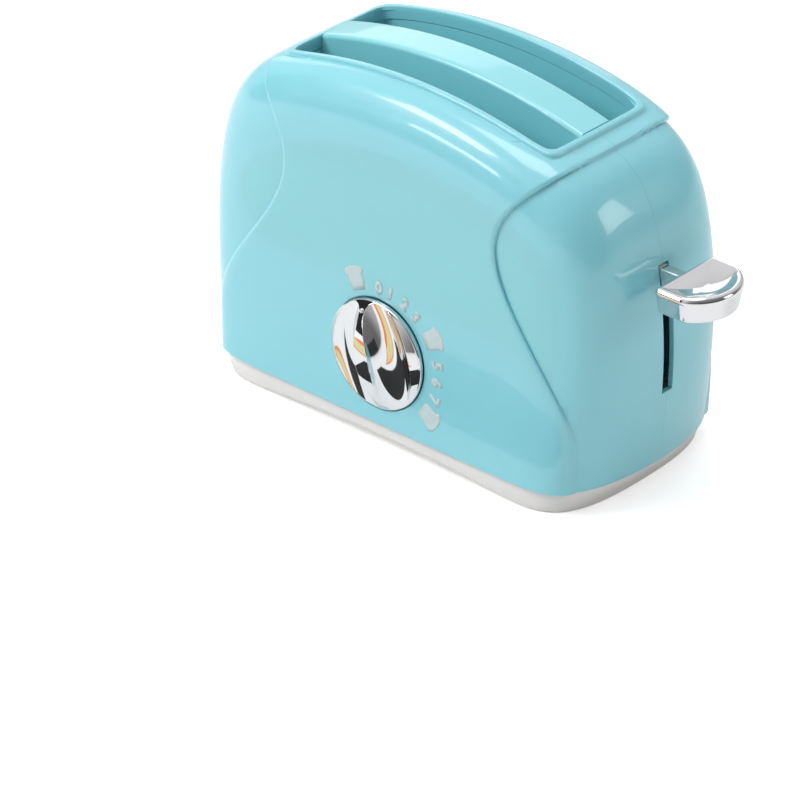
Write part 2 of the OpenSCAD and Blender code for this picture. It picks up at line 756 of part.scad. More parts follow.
module drive_gear() {
    color(natural)
        upright(layer_a + wheel_t, wheel_t)
            translate([dial_x, dial_z])
                difference() {
                    gear_shape(drive_teeth, second_a);
                    circle(r = shaft_r + fit, $fn = 48);
                    for (a = [0:72:288])
                        rotate(a)
                            translate([8.2, 0])
                                circle(r = 2.6, $fn = 32);
                }
}

module plate_shape() {
    x0 = pillars[0][0];
    x1 = pillars[3][0];
    z0 = pillars[0][1];
    z1 = pillars[3][1];
    m = 4;
    difference() {
        union() {
            translate([x0 - m, z0]) square([x1 - x0 + 2 * m, z1 - z0]);
            translate([x0, z0 - m]) square([x1 - x0, z1 - z0 + 2 * m]);
            for (x = [x0, x1], z = [z0, z1])
                translate([x, z]) circle(r = m, $fn = 32);
        }
        translate([dial_x, dial_z]) circle(r = shaft_r + run, $fn = 48);
        translate(second_at) circle(r = axle_r + run, $fn = 32);
        translate(fly_at) circle(r = axle_r + run, $fn = 32);
        for (p = pillars)
            translate(p) circle(r = timer_screw_r + run, $fn = 24);
    }
}

// The front plate stands off the inside of the wall on four hollow pillars
module timer_front_plate() {
    color(natural)
        difference() {
            union() {
                upright(plate_y + plate_t, plate_t)
                    plate_shape();
                for (p = pillars)
                    rod_y(p[0], p[1], pillar_r, -panel_y(p[0], p[1], pillar_r), plate_y + plate_t);
            }
            for (p = pillars)
                rod_y(p[0], p[1], timer_screw_r + fit, plate_y - 3.5, plate_y + plate_t + 1);
        }
}

// The back plate carries the pillars that keep the two plates apart
module timer_back_plate() {
    color(natural) {
        difference() {
            union() {
                upright(works_end, plate_t)
                    plate_shape();
                for (p = pillars)
                    rod_y(p[0], p[1], pillar_r, plate_y + plate_t, back_y + 0.1);
            }
            for (p = pillars)
                rod_y(p[0], p[1], timer_screw_r + run, plate_y, works_end + 1);
        }
    }
}

// Spiral band wound round the shaft
module mainspring() {
    turns = 3;
    r0 = shaft_r + 0.8;
    r1 = 12.4;
    band = 0.45;
    steps = 24 * turns;
    function at(i, off) = let (t = i / steps, r = r0 + (r1 - r0) * t + off, a = 360 * turns * t) r * [cos(a), sin(a)];
    color(steel)
        upright(layer_c + spring_t, spring_t)
            translate([dial_x, dial_z])
                polygon(concat([for (i = [0:steps]) at(i, 0)], [for (i = [steps:-1:0]) at(i, band)]));
}

module second_wheel() {
    color(natural) {
        upright(layer_a + wheel_t + gap + eps, wheel_t + gap + eps)
            translate(second_at)
                gear_shape(pinion_teeth, second_a + 180 + 180 / pinion_teeth);
        upright(layer_b + wheel_t, wheel_t)
            translate(second_at)
                gear_shape(second_teeth, fly_a);
        rod_y(second_at[0], second_at[1], axle_r, plate_y, works_end);
    }
}

// Two-bladed fly that brakes the train as it spins in the air
module governor_fly() {
    color(natural) {
        upright(layer_b + wheel_t, wheel_t + gap + eps)
            translate(fly_at)
                gear_shape(fly_teeth, fly_a + 180 + 180 / fly_teeth);
        upright(layer_a + wheel_t, wheel_t)
            translate(fly_at) {
                circle(r = 2.4, $fn = 32);
                rotate(35) translate([-7, -0.9]) square([14, 1.8]);
                for (s = [0, 180])
                    rotate(35 + s) translate([5.6, 0]) circle(r = 1.5, $fn = 24);
            }
        rod_y(fly_at[0], fly_at[1], axle_r, plate_y, works_end);
    }
}

// ---------------------------------------------------------------- latch
// A bell crank: its tooth holds the lug of the lowered carriage, and its tail lies
// in the path of the finger on the dial's shaft.
tail_r = finger_r + 1.6;
tail_at = [dial_x + tail_r * cos(tail_a), dial_z + tail_r * sin(tail_a)];
tooth_z = sleeve_z0 - travel + 3 + gap;

module latch_hook() {
    t = 1.9;
    color(natural)
        upright(cam_y + cam_t - 0.05, t)
            difference() {
                union() {
                    translate(latch_at) circle(r = 4, $fn = 48);
                    hull() {
                        translate(tail_at) circle(r = 1.2, $fn = 24);
                        translate(latch_at) circle(r = 2.4, $fn = 24);
                    }
                    hull() {
                        translate([latch_at[0] + 4.5, tooth_z + 4]) circle(r = 2, $fn = 24);
                        translate(latch_at) circle(r = 2.8, $fn = 24);
                    }
                    polygon([[latch_at[0] + 2.5, tooth_z + 5], [latch_at[0] + 2.5, tooth_z],
                             [lug_x[0] - gap, tooth_z], [lug_x[0] - gap, tooth_z + 1.6],
                             [latch_at[0] + 6.5, tooth_z + 5]]);
                }
                translate(latch_at) circle(r = 1.5 + run, $fn = 32);
            }
}

module latch_pin() {
    x = latch_at[0];
    z = latch_at[1];
    color(steel) {
        rod_y(x, z, 3, -panel_y(x, z, 3), cam_y - 0.1);
        rod_y(x, z, 1.5, cam_y - 0.2, cam_y + cam_t + 3.2);
        rod_y(x, z, 3.2, cam_y + cam_t + 2.6, cam_y + cam_t + 3.6);
    }
}

// Small torsion spring on the latch's pin
module latch_spring() {
    color(steel)
        translate([latch_at[0], cam_y + cam_t + 2.4, latch_at[1]])
            rotate([90, 0, 0])
                rotate_extrude($fn = 48)
                    translate([1.8, 0])
                        square([0.9, 2.2]);
}

// ---------------------------------------------------------------- screws
module screw_y(x, z, r, head_r, y_tip, y_head) {
    rod_y(x, z, r, y_tip, y_head, 24);
    difference() {
        rod_y(x, z, head_r, y_head, y_head + 1.4, 32);
        translate([x, y_head + 1.1, z]) cube([head_r * 1.3, 0.8, 0.7], center = true);
        translate([x, y_head + 1.1, z]) cube([0.7, 0.8, head_r * 1.3], center = true);
    }
}

module case_screws() {
    color(steel)
        for (p = case_posts)
            screw_y(p[0], p[1], case_screw_r, 2.8, -screw_depth + 1, screw_depth);
}

module base_screws() {
    color(steel)
        for (x = [-base_post_x, base_post_x], y = [-base_post_y, base_post_y]) {
            rod_z(x, y, base_screw_r, 3.4, body_z + 8, 24);
            difference() {
                rod_z(x, y, 2.6, 2, 3.4, 32);
                translate([x, y, 2.3]) cube([3.4, 0.7, 0.8], center = true);
                translate([x, y, 2.3]) cube([0.7, 3.4, 0.8], center = true);
            }
        }
}

module timer_screws() {
    color(steel)
        for (p = pillars)
            screw_y(p[0], p[1], timer_screw_r, 1.9, plate_y - 3, works_end);
}

front_shell();
back_shell();
base_plate();
bread_well();
front_posts();
back_posts();
dial_cup();
bread_carriage();
lever_stem();
lever_knob();
guide_rod_left();
guide_rod_right();
lift_spring_left();
lift_spring_right();
dial_knob();
dial_shaft();
release_cam();
drive_gear();
timer_front_plate();
timer_back_plate();
mainspring();
second_wheel();
governor_fly();
latch_hook();
latch_pin();
latch_spring();
case_screws();
base_screws();
timer_screws();
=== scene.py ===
# %% [markdown]
# # A toy pop-up toaster
# This lesson dresses a measured model of a pretend-play toaster. The hidden works
# (guide rods, bread carriage, wind-up timer) come straight from the measured frame.
# The pieces that a camera sees close up, the glossy body, the white base, the plated
# dial and lever, are made again here as fine surfaces from a few formulas.

# %% Load the measured frame
import json
import math
import bmesh
import bpy
import numpy as np
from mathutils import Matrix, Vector


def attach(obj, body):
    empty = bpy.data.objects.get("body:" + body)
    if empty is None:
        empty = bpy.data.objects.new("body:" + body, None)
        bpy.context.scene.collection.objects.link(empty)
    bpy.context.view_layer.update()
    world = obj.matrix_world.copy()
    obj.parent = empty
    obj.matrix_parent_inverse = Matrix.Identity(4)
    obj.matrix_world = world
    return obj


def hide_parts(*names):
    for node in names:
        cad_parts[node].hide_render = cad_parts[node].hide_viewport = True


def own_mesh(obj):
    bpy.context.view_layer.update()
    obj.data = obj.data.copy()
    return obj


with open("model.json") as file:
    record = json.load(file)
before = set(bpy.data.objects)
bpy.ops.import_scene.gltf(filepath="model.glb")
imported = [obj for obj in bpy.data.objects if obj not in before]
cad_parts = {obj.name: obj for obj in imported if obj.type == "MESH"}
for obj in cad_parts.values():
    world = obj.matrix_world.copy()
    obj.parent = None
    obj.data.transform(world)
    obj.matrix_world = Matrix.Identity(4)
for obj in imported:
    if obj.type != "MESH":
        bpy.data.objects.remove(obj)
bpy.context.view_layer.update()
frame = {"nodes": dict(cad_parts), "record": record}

# %% [markdown]
# ## Arrays into meshes
# Every new piece is a table of points worked out with numpy. The points lie on a grid,
# so one helper numbers the grid's faces, and another hands the whole table to Blender
# at once. Modelling by hand would do too, but this way every edge follows a named size.

# %% Faces of a grid
def grid_quads(rows, cols, close_rows=False, close_cols=False):
    """Quads of a grid whose point (i, j) has number i * cols + j. A closed direction
    joins its last line to its first."""
    i = np.arange(rows if close_rows else rows - 1)
    j = np.arange(cols if close_cols else cols - 1)
    i, j = np.meshgrid(i, j, indexing="ij")
    i2, j2 = (i + 1) % rows, (j + 1) % cols
    quads = [i * cols + j, i * cols + j2, i2 * cols + j2, i2 * cols + j]
    return np.stack(quads, -1).reshape(-1, 4)


print("a grid of 3 by 4 points has", len(grid_quads(3, 4)), "faces")

# %% A piece from points and faces
MM = 0.001


def add_piece(name, points_mm, faces, material, body="case", smooth_angle=35):
    """A mesh object at the origin from points in millimetres and a table of faces. It
    rides a body of the frame, and its edges past smooth_angle degrees stay sharp."""
    mesh = bpy.data.meshes.new(name)
    points = np.asarray(points_mm, float).reshape(-1, 3) * MM
    mesh.from_pydata(points.tolist(), [], faces if isinstance(faces, list) else faces.tolist())
    mesh.validate()
    mesh.materials.append(material)
    mesh.polygons.foreach_set("use_smooth", np.ones(len(mesh.polygons), bool))
    mesh.set_sharp_from_angle(angle=math.radians(smooth_angle))
    piece = bpy.data.objects.new(name, mesh)
    bpy.context.collection.objects.link(piece)
    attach(piece, body)
    print(name, len(mesh.vertices), "points")
    return piece


# %% [markdown]
# ## Finishes
# The body is one glossy colour all through, so its material is a plain plastic with a
# clear, sharper gloss on top and a very faint unevenness, as mouldings have. The base
# is a duller white. The dial and the lever are plated: a full metal with almost no
# roughness, which shows the room. A picture could carry these finishes too, but noise
# in the object's own coordinates needs no unwrapping and never stretches.

# %% Colours as a screen shows them
def srgb(r, g, b):
    """Linear colour from three screen values up to 255: straight in the darkest part,
    and a power of 2.4 above it."""
    c = np.array([r, g, b]) / 255
    return tuple(np.where(c < 0.04045, c / 12.92, ((c + 0.055) / 1.055) ** 2.4)) + (1.0,)


print("middle grey in linear light:", round(float(srgb(128, 128, 128)[0]), 3))

# %% A finish that varies a little
noise_detail = 3
tint_from, tint_to = 0.3, 0.7
coat_roughness = 0.05


def finish(name, colour, roughness, grain, metal=0.0, coat=0.0, spread=0.04, shade=0.03,
           stretch=(1, 1, 1)):
    """A Principled material whose colour and roughness vary a little by noise: the
    colour runs from (1 - shade) of itself to itself, the roughness by plus or minus
    spread."""
    material = bpy.data.materials.new(name)
    material.use_nodes = True
    nodes, links = material.node_tree.nodes, material.node_tree.links
    shader = nodes["Principled BSDF"]
    place = nodes.new("ShaderNodeTexCoord")
    turn = nodes.new("ShaderNodeMapping")
    turn.inputs["Scale"].default_value = stretch
    noise = nodes.new("ShaderNodeTexNoise")
    noise.inputs["Scale"].default_value = grain
    noise.inputs["Detail"].default_value = noise_detail
    links.new(place.outputs["Object"], turn.inputs["Vector"])
    links.new(turn.outputs["Vector"], noise.inputs["Vector"])
    tint = nodes.new("ShaderNodeValToRGB")
    tint.color_ramp.elements[0].position = tint_from
    tint.color_ramp.elements[1].position = tint_to
    tint.color_ramp.elements[0].color = tuple(v * (1 - shade) for v in colour[:3]) + (1,)
    tint.color_ramp.elements[1].color = colour
    links.new(noise.outputs["Fac"], tint.inputs["Fac"])
    links.new(tint.outputs["Color"], shader.inputs["Base Color"])
    rough = nodes.new("ShaderNodeMapRange")
    rough.inputs["To Min"].default_value = max(0.0, roughness - spread)
    rough.inputs["To Max"].default_value = roughness + spread
    links.new(noise.outputs["Fac"], rough.inputs["Value"])
    links.new(rough.outputs["Result"], shader.inputs["Roughness"])
    shader.inputs["Metallic"].default_value = metal
    shader.inputs["Coat Weight"].default_value = coat
    shader.inputs["Coat Roughness"].default_value = coat_roughness
    print("finish:", name)
    return material


# %% The finishes of this toaster
turquoise = finish("turquoise_gloss", srgb(134, 208, 220), 0.30, grain=60, coat=0.7,
                   spread=0.03, shade=0.015)
# The guides' turquoise is painted lighter than the body's: painted light for the shade in the
# wells.
guide_turquoise_painted_light = finish("guide_turquoise_painted_light_gloss", srgb(138, 214, 223), 0.30, grain=60, coat=0.8,
                        spread=0.03, shade=0.02)
soft_white = finish("soft_white", srgb(232, 229, 226), 0.42, grain=80, shade=0.02)
plating = finish("bright_plating", srgb(226, 226, 228), 0.05, grain=40, metal=1.0,
                 spread=0.02, shade=0.02)
natural = finish("unpainted_plastic", srgb(226, 224, 212), 0.45, grain=70)
steel = finish("drawn_steel", srgb(190, 193, 198), 0.28, grain=300, metal=1.0,
               spread=0.08, stretch=(1, 1, 0.05))
print_grey = finish("printed_grey", srgb(194, 212, 214), 0.45, grain=500, shade=0.06)

# %% [markdown]
# ## The works inside
# Rods, carriage, gears, latch and screws sit behind the walls and show only through
# the slots. Their measured solids are fine enough as they are, so each keeps its mesh
# and gets the finish of its own material.

# %% Finishes on the measured solids
finish_of = {"natural": natural, "steel": steel, "chrome": plating,
             "shell": turquoise, "guides": guide_turquoise_painted_light, "base": soft_white}
for part in frame["record"]["subparts"]:
    node = frame["nodes"][part["node"]]
    node.data.materials.clear()
    node.data.materials.append(finish_of[part["material_slot"]])

# %% [markdown]
# ## The form of the body
# Seen from above, every level of the body is a rounded rectangle,
# |x/a|^m + |y/b|^n = 1. Its half-length a and half-depth b stay nearly full up to the
# shoulder and then draw in to the rim, and the exponents m and n change with height,
# so that the front is a soft curve near the base and flatter near the top. The rim is
# an arc along the length. Working with a share h of the height, instead of a height,
# lets every level follow that arc. A subdivided box would be soft as well, but its
# outline couldn't be set at each height.

# %% Sizes of the body, in millimetres
body_x, body_y, body_z = 96.98, 42.3, 9.4
rim_z, arch = 128.0, 8.0
wall, cheek_step = 2.2, 1.5
slot_x, slot_y, lip_w, lip_h = 59.0, 24.5, 2.6, 1.5
lip_ledge = 0.3
rim_x, rim_y = slot_x + lip_w + lip_ledge, slot_y + lip_w + lip_ledge
print("body", round(2 * body_x), "by", round(2 * body_y), "by", round(rim_z + arch), "mm")

# %% Outline of a level
exp_x0, exp_x1, exp_y0, exp_y1, exp_bend = 12.5, 5.9, 1.9, 5.2, 1.5
tuck_x, spread_y, foot_bend = 0.056, 0.075, 3
shoulder_x, shoulder_y = (2.4, 3.4), (11.2, 2.0)


def exponents(h):
    """m and n: each goes from its value at the foot to its value at the rim."""
    t = h ** exp_bend
    return exp_x0 + (exp_x1 - exp_x0) * t, exp_y0 + (exp_y1 - exp_y0) * t


def half_x(h):
    """Half-length: the rim's, plus what is left of the body's after the shoulder,
    which falls as (1 - h^p)^(1/q). The foot is tucked in."""
    full = body_x * (1 - tuck_x * (1 - h) ** foot_bend)
    return rim_x + (full - rim_x) * (1 - h ** shoulder_x[0]) ** (1 / shoulder_x[1])


def half_y(h):
    """Half-depth, in the same way. The foot spreads out."""
    full = body_y * (1 + spread_y * (1 - h) ** foot_bend)
    return rim_y + (full - rim_y) * (1 - h ** shoulder_y[0]) ** (1 / shoulder_y[1])


print("half-length at the foot, middle and rim:", [round(half_x(h), 1) for h in (0, 0.5, 1)])

# %% Places on the body
lip_bend = 8
halvings = 40


def top_z(x):
    """The rim's arc: highest in the middle, down by the arch at the slots' ends."""
    return rim_z + arch * (1 - (x / slot_x) ** 2)


def height(h, x, inset=0.0):
    """Height of the level with share h over the place x, under the lip's ledge."""
    return body_z + h * (top_z(x) - inset - body_z) - lip_h * h ** lip_bend


def section(w, h):
    """Point of the level at share h: w is 0 at the end wall and 1 at the front."""
    m, n = exponents(h)
    q = w ** n + (1 - w) ** m
    return half_x(h) * (1 - w) / q ** (1 / m), half_y(h) * w / q ** (1 / n)


def front_y(x, z):
    """Depth of the front panel at a place (x, z), well below the rim."""
    h = (z - body_z) / (top_z(x) - body_z)
    m, n = exponents(h)
    return half_y(h) * (1 - np.abs(x / half_x(h)) ** m) ** (1 / n)


def solve_w(target, h, axis):
    """w at which the section's x (axis 0) or y (axis 1) is the target, by halving."""
    lo, hi = np.zeros(np.broadcast(target, h).shape), np.ones(np.broadcast(target, h).shape)
    for _ in range(halvings):
        w = (lo + hi) / 2
        value = section(w, h)[axis]
        go_up = value > target if axis == 0 else value < target
        lo, hi = np.where(go_up, w, lo), np.where(go_up, hi, w)
    return (lo + hi) / 2


print("front of the body at its waist:", round(float(front_y(0, 0.5 * rim_z)), 1), "mm deep")

# %% [markdown]
# ## The raised centre panel
# Front and back carry a panel in the shape of an hourglass. Its edge runs from the
# rim's corner in to a waist and sweeps out to the base. The edge is rolled: it leaves
# the panel smoothly and drops steeply onto the end cheek, which leaves a crisp line.
# A bump map would only suggest this step and leave the outline smooth.

# %% Edge of the centre panel
waist_x, waist_z, panel_shift = 49.0, 96.0, 1.5
panel_top, panel_foot, panel_top_z, panel_drop = 67.5, 82.6, rim_z - 4, 68.0
panel_top_bend = 1.9
roll_top, roll_more = 2.6, 4


def sweep(t):
    """Smooth step from 0 to 1: s * s * (3 - 2 s)."""
    s = np.clip(t, 0, 1)
    return s * s * (3 - 2 * s)


def panel_x(z):
    """Half-length of the panel: a power curve above the waist, a sweep below it."""
    t = np.clip((z - waist_z) / (panel_top_z - waist_z), 0, 1)
    up = waist_x + (panel_top - waist_x) * t ** panel_top_bend
    down = waist_x + (panel_foot - waist_x) * sweep((waist_z - z) / panel_drop)
    return np.where(z > waist_z, up, down)


def roll(z):
    """Width of the rolled edge, which grows towards the base."""
    return roll_top + roll_more * sweep((waist_z - z) / panel_drop)


def drop(x, z):
    """Share of the step: 0 on the panel, 1 on the cheek, a quarter circle between."""
    t = np.clip((np.abs(x - panel_shift) - panel_x(z)) / roll(z) + 1, 0, 1)
    return 1 - np.sqrt(1 - t * t)


print("panel's half-length at the base, waist and top:",
      [round(float(panel_x(z)), 1) for z in (body_z, waist_z, rim_z)])

# %% [markdown]
# ## One half of the body
# The real body is two mouldings that meet in a seam down each end. Sculpting could
# make them, but a grid keeps them exact. Its columns follow the panel's edge at every
# level, so the crisp line is never stepped. One column runs along the side of the
# lever's slot, and the faces between it and the parting line are left out there.

# %% Levels and columns
track_z, track_half, track_x = (37.3, 87.4), 2.9, 91.5
level_count, level_crowding, last_share = 130, 1.9, 0.9995
cheek_cols, roll_cols, panel_cols = 34, 9, 112
edge_guess, edge_rounds, edge_most = 60.0, 12, 0.96


def level_shares():
    """Shares of the height, closer together towards the rim, with one level exactly
    at each end of the lever's slot."""
    s = 1 - (1 - np.linspace(0, 1, level_count)) ** level_crowding
    ends = (np.array(track_z) - body_z) / (top_z(track_x) - body_z)
    return np.unique(np.concatenate([s[:-1], [last_share], ends]))


def end_columns(h, side):
    """Columns at one end (side 1 or -1) on every level: shares w from the end wall to
    the panel's edge, and places x across the rolled edge. The edge is found by
    setting its place again from the height there until both agree."""
    edge = np.full(h.shape, edge_guess)
    for _ in range(edge_rounds):
        edge = np.minimum(edge_most * half_x(h), panel_x(height(h, edge)) + side * panel_shift)
    w_edge = solve_w(edge, h, 0)
    w_track = solve_w(np.full(h.shape, track_half), h, 1)
    share = np.linspace(0, 1, cheek_cols)[None, :]
    cheek = np.concatenate([np.zeros(h.shape), w_track + (w_edge - w_track) * share], 1)
    return cheek, edge - roll(height(h, edge)) * np.linspace(0, 1, roll_cols)[None, 1:]


print("levels:", len(level_shares()))

# %% Grid of one half
seam = 0.03


def shell_half_grid():
    """Points of one half as an array (levels, columns, 3), for the side with y < 0,
    and the share w and the sign of x of each column on the top level."""
    h = level_shares()[:, None]
    (cheek_r, roll_r), (cheek_l, roll_l) = end_columns(h, 1), end_columns(h, -1)
    mid = np.linspace(0, 1, panel_cols)[None, 1:-1]
    x_panel = roll_r[:, -1:] + (-roll_l[:, -1:] - roll_r[:, -1:]) * mid
    x_all = np.concatenate([roll_r, x_panel, -roll_l[:, ::-1]], 1)
    w_mid = solve_w(np.abs(x_all), h, 0)
    w = np.concatenate([cheek_r, w_mid, cheek_l[:, ::-1]], 1)
    sign = np.concatenate([np.ones(cheek_r.shape), np.sign(x_all), -np.ones(cheek_l.shape)], 1)
    x, y = section(w, h)
    x = x * sign
    step = drop(x, height(h, x)) * cheek_step
    fx, fy = (half_x(h) - step) / half_x(h), (half_y(h) - step) / half_y(h)
    xs, ys = x * fx, -np.maximum(y * fy, seam)
    return np.stack([xs, ys, height(h, xs, step)], -1), w[-1], sign[-1]


print("points on the outside of one half:", shell_half_grid()[0].shape)

# %% [markdown]
# ## The lip round the slots
# A low rounded lip stands round the opening and turns down into it. A curve swept
# round the opening would make one too. Here its rows go on from the body's top level
# with the same columns, so the two join without a seam.

# %% Rows of the lip
lip_corner = 16.0
lip_form = [
    (lip_w + 0.25, -lip_h - 0.03), (lip_w + 0.02, -lip_h + 0.10), (lip_w - 0.08, -0.75),
    (lip_w - 0.30, -0.28), (lip_w - 0.70, -0.04), (lip_w - 1.1, 0.0), (0.7, 0.0), (0.35, -0.06),
    (0.1, -0.3), (0.0, -0.65), (0.0, -2.5), (0.0, -wall - 3.0)]


def lip_rows(w, sign):
    """Rounded rectangles |x/a|^m + |y/b|^m = 1, one for each row of the form, which
    says how far outside the opening it lies and how far over the arc."""
    out, rise = np.array(lip_form).T[:, :, None]
    q = (w ** lip_corner + (1 - w) ** lip_corner) ** (1 / lip_corner)
    x = (slot_x + out) * ((1 - w) / q) * sign
    y = -np.maximum((slot_y + out) * (w / q), seam)
    return np.stack([x, y, top_z(x) + rise], -1)


print("rows of the lip:", len(lip_form))

# %% [markdown]
# ## Openings in the half
# The lever's slot lies on the seam, so each half leaves out half of it. The dial sits
# in a round hole in the front. Points inside that hole are moved out to its edge,
# which makes a true circle without a Boolean cut.

# %% Openings
track_slack = 0.3
dial_x, dial_z, cup_r = -0.6, 36.4, 21.4
least_front = 30
no_radius = 1e-6


def beside_track(points, quads, levels):
    """True for each face that stays: all but those of the first column between the
    two ends of the lever's slot."""
    rows, cols = points.shape[:2]
    z = points[:, 0, 2]
    in_track = (z[:-1] > track_z[0] - track_slack) & (z[1:] < track_z[1] + track_slack)
    in_track &= np.arange(rows - 1) < levels - 1
    return ~(in_track[quads[:, 0] // cols] & (quads[:, 0] % cols == 0))


def round_hole(flat, quads):
    """Moves points inside the dial's hole along their radius to its edge, and gives
    True for each face that stays."""
    dx, dz = flat[:, 0] - dial_x, flat[:, 2] - dial_z
    r = np.hypot(dx, dz)
    inside = (r < cup_r) & (flat[:, 1] < -least_front)
    out = cup_r / np.maximum(r[inside], no_radius)
    x, z = dial_x + dx[inside] * out, dial_z + dz[inside] * out
    flat[inside] = np.stack([x, -front_y(x, z), z], -1)
    return ~inside[quads].all(1)


print("slot's length:", round(track_z[1] - track_z[0], 1), "mm, hole's width:", 2 * cup_r, "mm")

# %% Both halves
skin_smooth = 50


def shell_half(name, node, mirror, with_dial):
    """One half as a piece. The back is the front's mirror image in y."""
    points, w_top, sign_top = shell_half_grid()
    levels = len(points)
    points = np.concatenate([points, lip_rows(w_top, sign_top)], 0)
    quads = grid_quads(*points.shape[:2])
    keep = beside_track(points, quads, levels)
    flat = points.reshape(-1, 3)
    if with_dial:
        keep &= round_hole(flat, quads)
    quads = quads[keep]
    if mirror:
        flat = flat * [1, -1, 1]
    else:
        quads = quads[:, ::-1]
    used = np.unique(quads)
    number = np.zeros(len(flat), int)
    number[used] = np.arange(len(used))
    piece = add_piece(name, flat[used], number[quads], turquoise, smooth_angle=skin_smooth)
    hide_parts(node)
    return piece


front_skin = shell_half("front_half", "front_shell", False, True)
back_skin = shell_half("back_half", "back_shell", True, False)

# %% [markdown]
# ## Thickness of the wall
# A moulded wall is the same all over. A Solidify modifier gives it from the outside
# inwards, and what it made is kept as the mesh. The sharp edges are marked after
# that, so that the wall's edge doesn't shade as if it were round.

# %% Wall
inner_gap = 0.3
wall_smooth = 40


def settle(piece):
    """Keeps what the modifiers made as the piece's own mesh."""
    graph = bpy.context.evaluated_depsgraph_get()
    made = bpy.data.meshes.new_from_object(piece.evaluated_get(graph))
    piece.modifiers.clear()
    piece.data = made
    made.set_sharp_from_angle(angle=math.radians(wall_smooth))
    print(piece.name, "settled:", len(made.vertices), "points")


for skin in (front_skin, back_skin):
    thickness = skin.modifiers.new("wall", "SOLIDIFY")
    thickness.thickness = (wall - inner_gap) * MM
    thickness.offset = -1
    thickness.use_rim = True
settle(front_skin)

# %% [markdown]
# ## Closed forms
# The pieces that follow are closed: a stack of rings, each closed on itself, with a
# fan of triangles to a centre point at both ends. Blender can then turn every face
# outwards by itself.

# %% Closed forms
doubles = 1e-7


def closed_rings(rings, first_centre, last_centre):
    """Points and faces of the form from an array of rings (ring, place, 3) and the
    centre points of its two fans."""
    n, c = rings.shape[:2]
    points = np.vstack([rings.reshape(-1, 3), [first_centre, last_centre]])
    j = np.arange(c)
    k = (j + 1) % c
    first_fan = np.stack([np.full(c, n * c), k, j], -1)
    last_fan = np.stack([np.full(c, n * c + 1), (n - 1) * c + j, (n - 1) * c + k], -1)
    faces = grid_quads(n, c, close_cols=True).tolist() + first_fan.tolist() + last_fan.tolist()
    return points, faces


def recalculate(piece):
    """Turns every face of a closed piece outwards."""
    work = bmesh.new()
    work.from_mesh(piece.data)
    bmesh.ops.remove_doubles(work, verts=work.verts, dist=doubles)
    bmesh.ops.recalc_face_normals(work, faces=work.faces)
    work.to_mesh(piece.data)
    work.free()
    return piece


def full_turn(count):
    """Angles of a full turn in equal steps, the last one short of the first."""
    return np.arange(count) * 2 * np.pi / count


print("a step of a 48-sided ring:", round(math.degrees(full_turn(48)[1]), 2), "degrees")

# %% [markdown]
# ## Screw holes in the back
# The case is held by four screws from the back. Each sits deep in a round hole. A
# Boolean with four plain cylinders cuts them, because the holes cross the curved
# cheek at a slant, which no grid line follows.

# %% Screw holes
case_posts = [(78, 25), (-78, 25), (75, 100), (-75, 100)]
case_hole_r = 3.4
hole_from, hole_to = 8, 60


def hole_cutter(sides=48):
    """Closed cylinders along Y, one for each post's centre (x, z), as one object."""
    a = full_turn(sides)
    all_points, all_faces, start = [], [], 0
    for x, z in case_posts:
        rim = [x + case_hole_r * np.cos(a), np.full(sides, hole_from), z + case_hole_r * np.sin(a)]
        near = np.stack(rim, -1)
        rings = np.array([near, near + [0, hole_to - hole_from, 0]])
        points, faces = closed_rings(rings, [x, hole_from, z], [x, hole_to, z])
        all_points.append(points)
        all_faces += [[start + v for v in face] for face in faces]
        start += len(points)
    mesh = bpy.data.meshes.new("hole_cutter")
    mesh.from_pydata((np.vstack(all_points) * MM).tolist(), [], all_faces)
    cutter = bpy.data.objects.new("hole_cutter", mesh)
    bpy.context.collection.objects.link(cutter)
    return recalculate(cutter)


cutter = hole_cutter()
cut = back_skin.modifiers.new("holes", "BOOLEAN")
cut.object, cut.operation, cut.solver = cutter, "DIFFERENCE", "EXACT"
settle(back_skin)
bpy.data.objects.remove(cutter)

# %% [markdown]
# ## Bread guides
# Two wells hang under the opening, with a bar between them. Their turquoise is painted
# a little lighter than the body's: painted light that makes up for the shade down in the
# wells. The bar's top follows the arch and its long edges are rounded, so its section is
# worked out at each station along the length. A bevelled box would do for a straight bar,
# but not for an arched one.

# %% Section of the bar
guide_z, guide_wall = 77.0, 2.1
bar_y, bar_round, bar_below, bar_crown = 8.0, 1.7, 0.05, 0.05
arc_points, flat_points = 9, 12


def bar_section(x):
    """Closed section (y, z) of the bar at x: flat foot, two quarter arcs above, and a
    very low crown between them."""
    t = np.linspace(0, np.pi / 2, arc_points)
    top = top_z(x) - bar_below
    right = np.stack([bar_y - bar_round * (1 - np.cos(t)), top - bar_round * (1 - np.sin(t))], -1)
    across = np.linspace(bar_y - bar_round, bar_round - bar_y, flat_points)[1:-1]
    flat = np.stack([across, top + bar_crown * (1 - (across / bar_y) ** 2)], -1)
    left = right[::-1] * [-1, 1]
    loop = np.concatenate([right, flat, left, [[-bar_y, guide_z], [bar_y, guide_z]]])
    return np.column_stack([np.full(len(loop), x), loop])


print("points round the bar:", len(bar_section(0.0)))

# %% The bar between the wells
bar_end = slot_x - 0.15
end_step, station_count, bar_middle = 0.2, 60, 100
stations = np.concatenate([
    [-bar_end], np.linspace(-bar_end + end_step, bar_end - end_step, station_count), [bar_end]])
rings = np.array([bar_section(x) for x in stations])
points, faces = closed_rings(rings, [-bar_end, 0, bar_middle], [bar_end, 0, bar_middle])
bar = recalculate(add_piece("guide_bar", points, faces, guide_turquoise_painted_light))
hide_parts("bread_well")

# %% [markdown]
# ## Walls of the wells
# Both wells share one outer wall, a plain ring with nearly square corners. Its
# section is a thin rectangle, so four loops that close on each other make it.

# %% Walls of the wells
well_corner, corner_points, well_below = 40.0, 48, 5.5


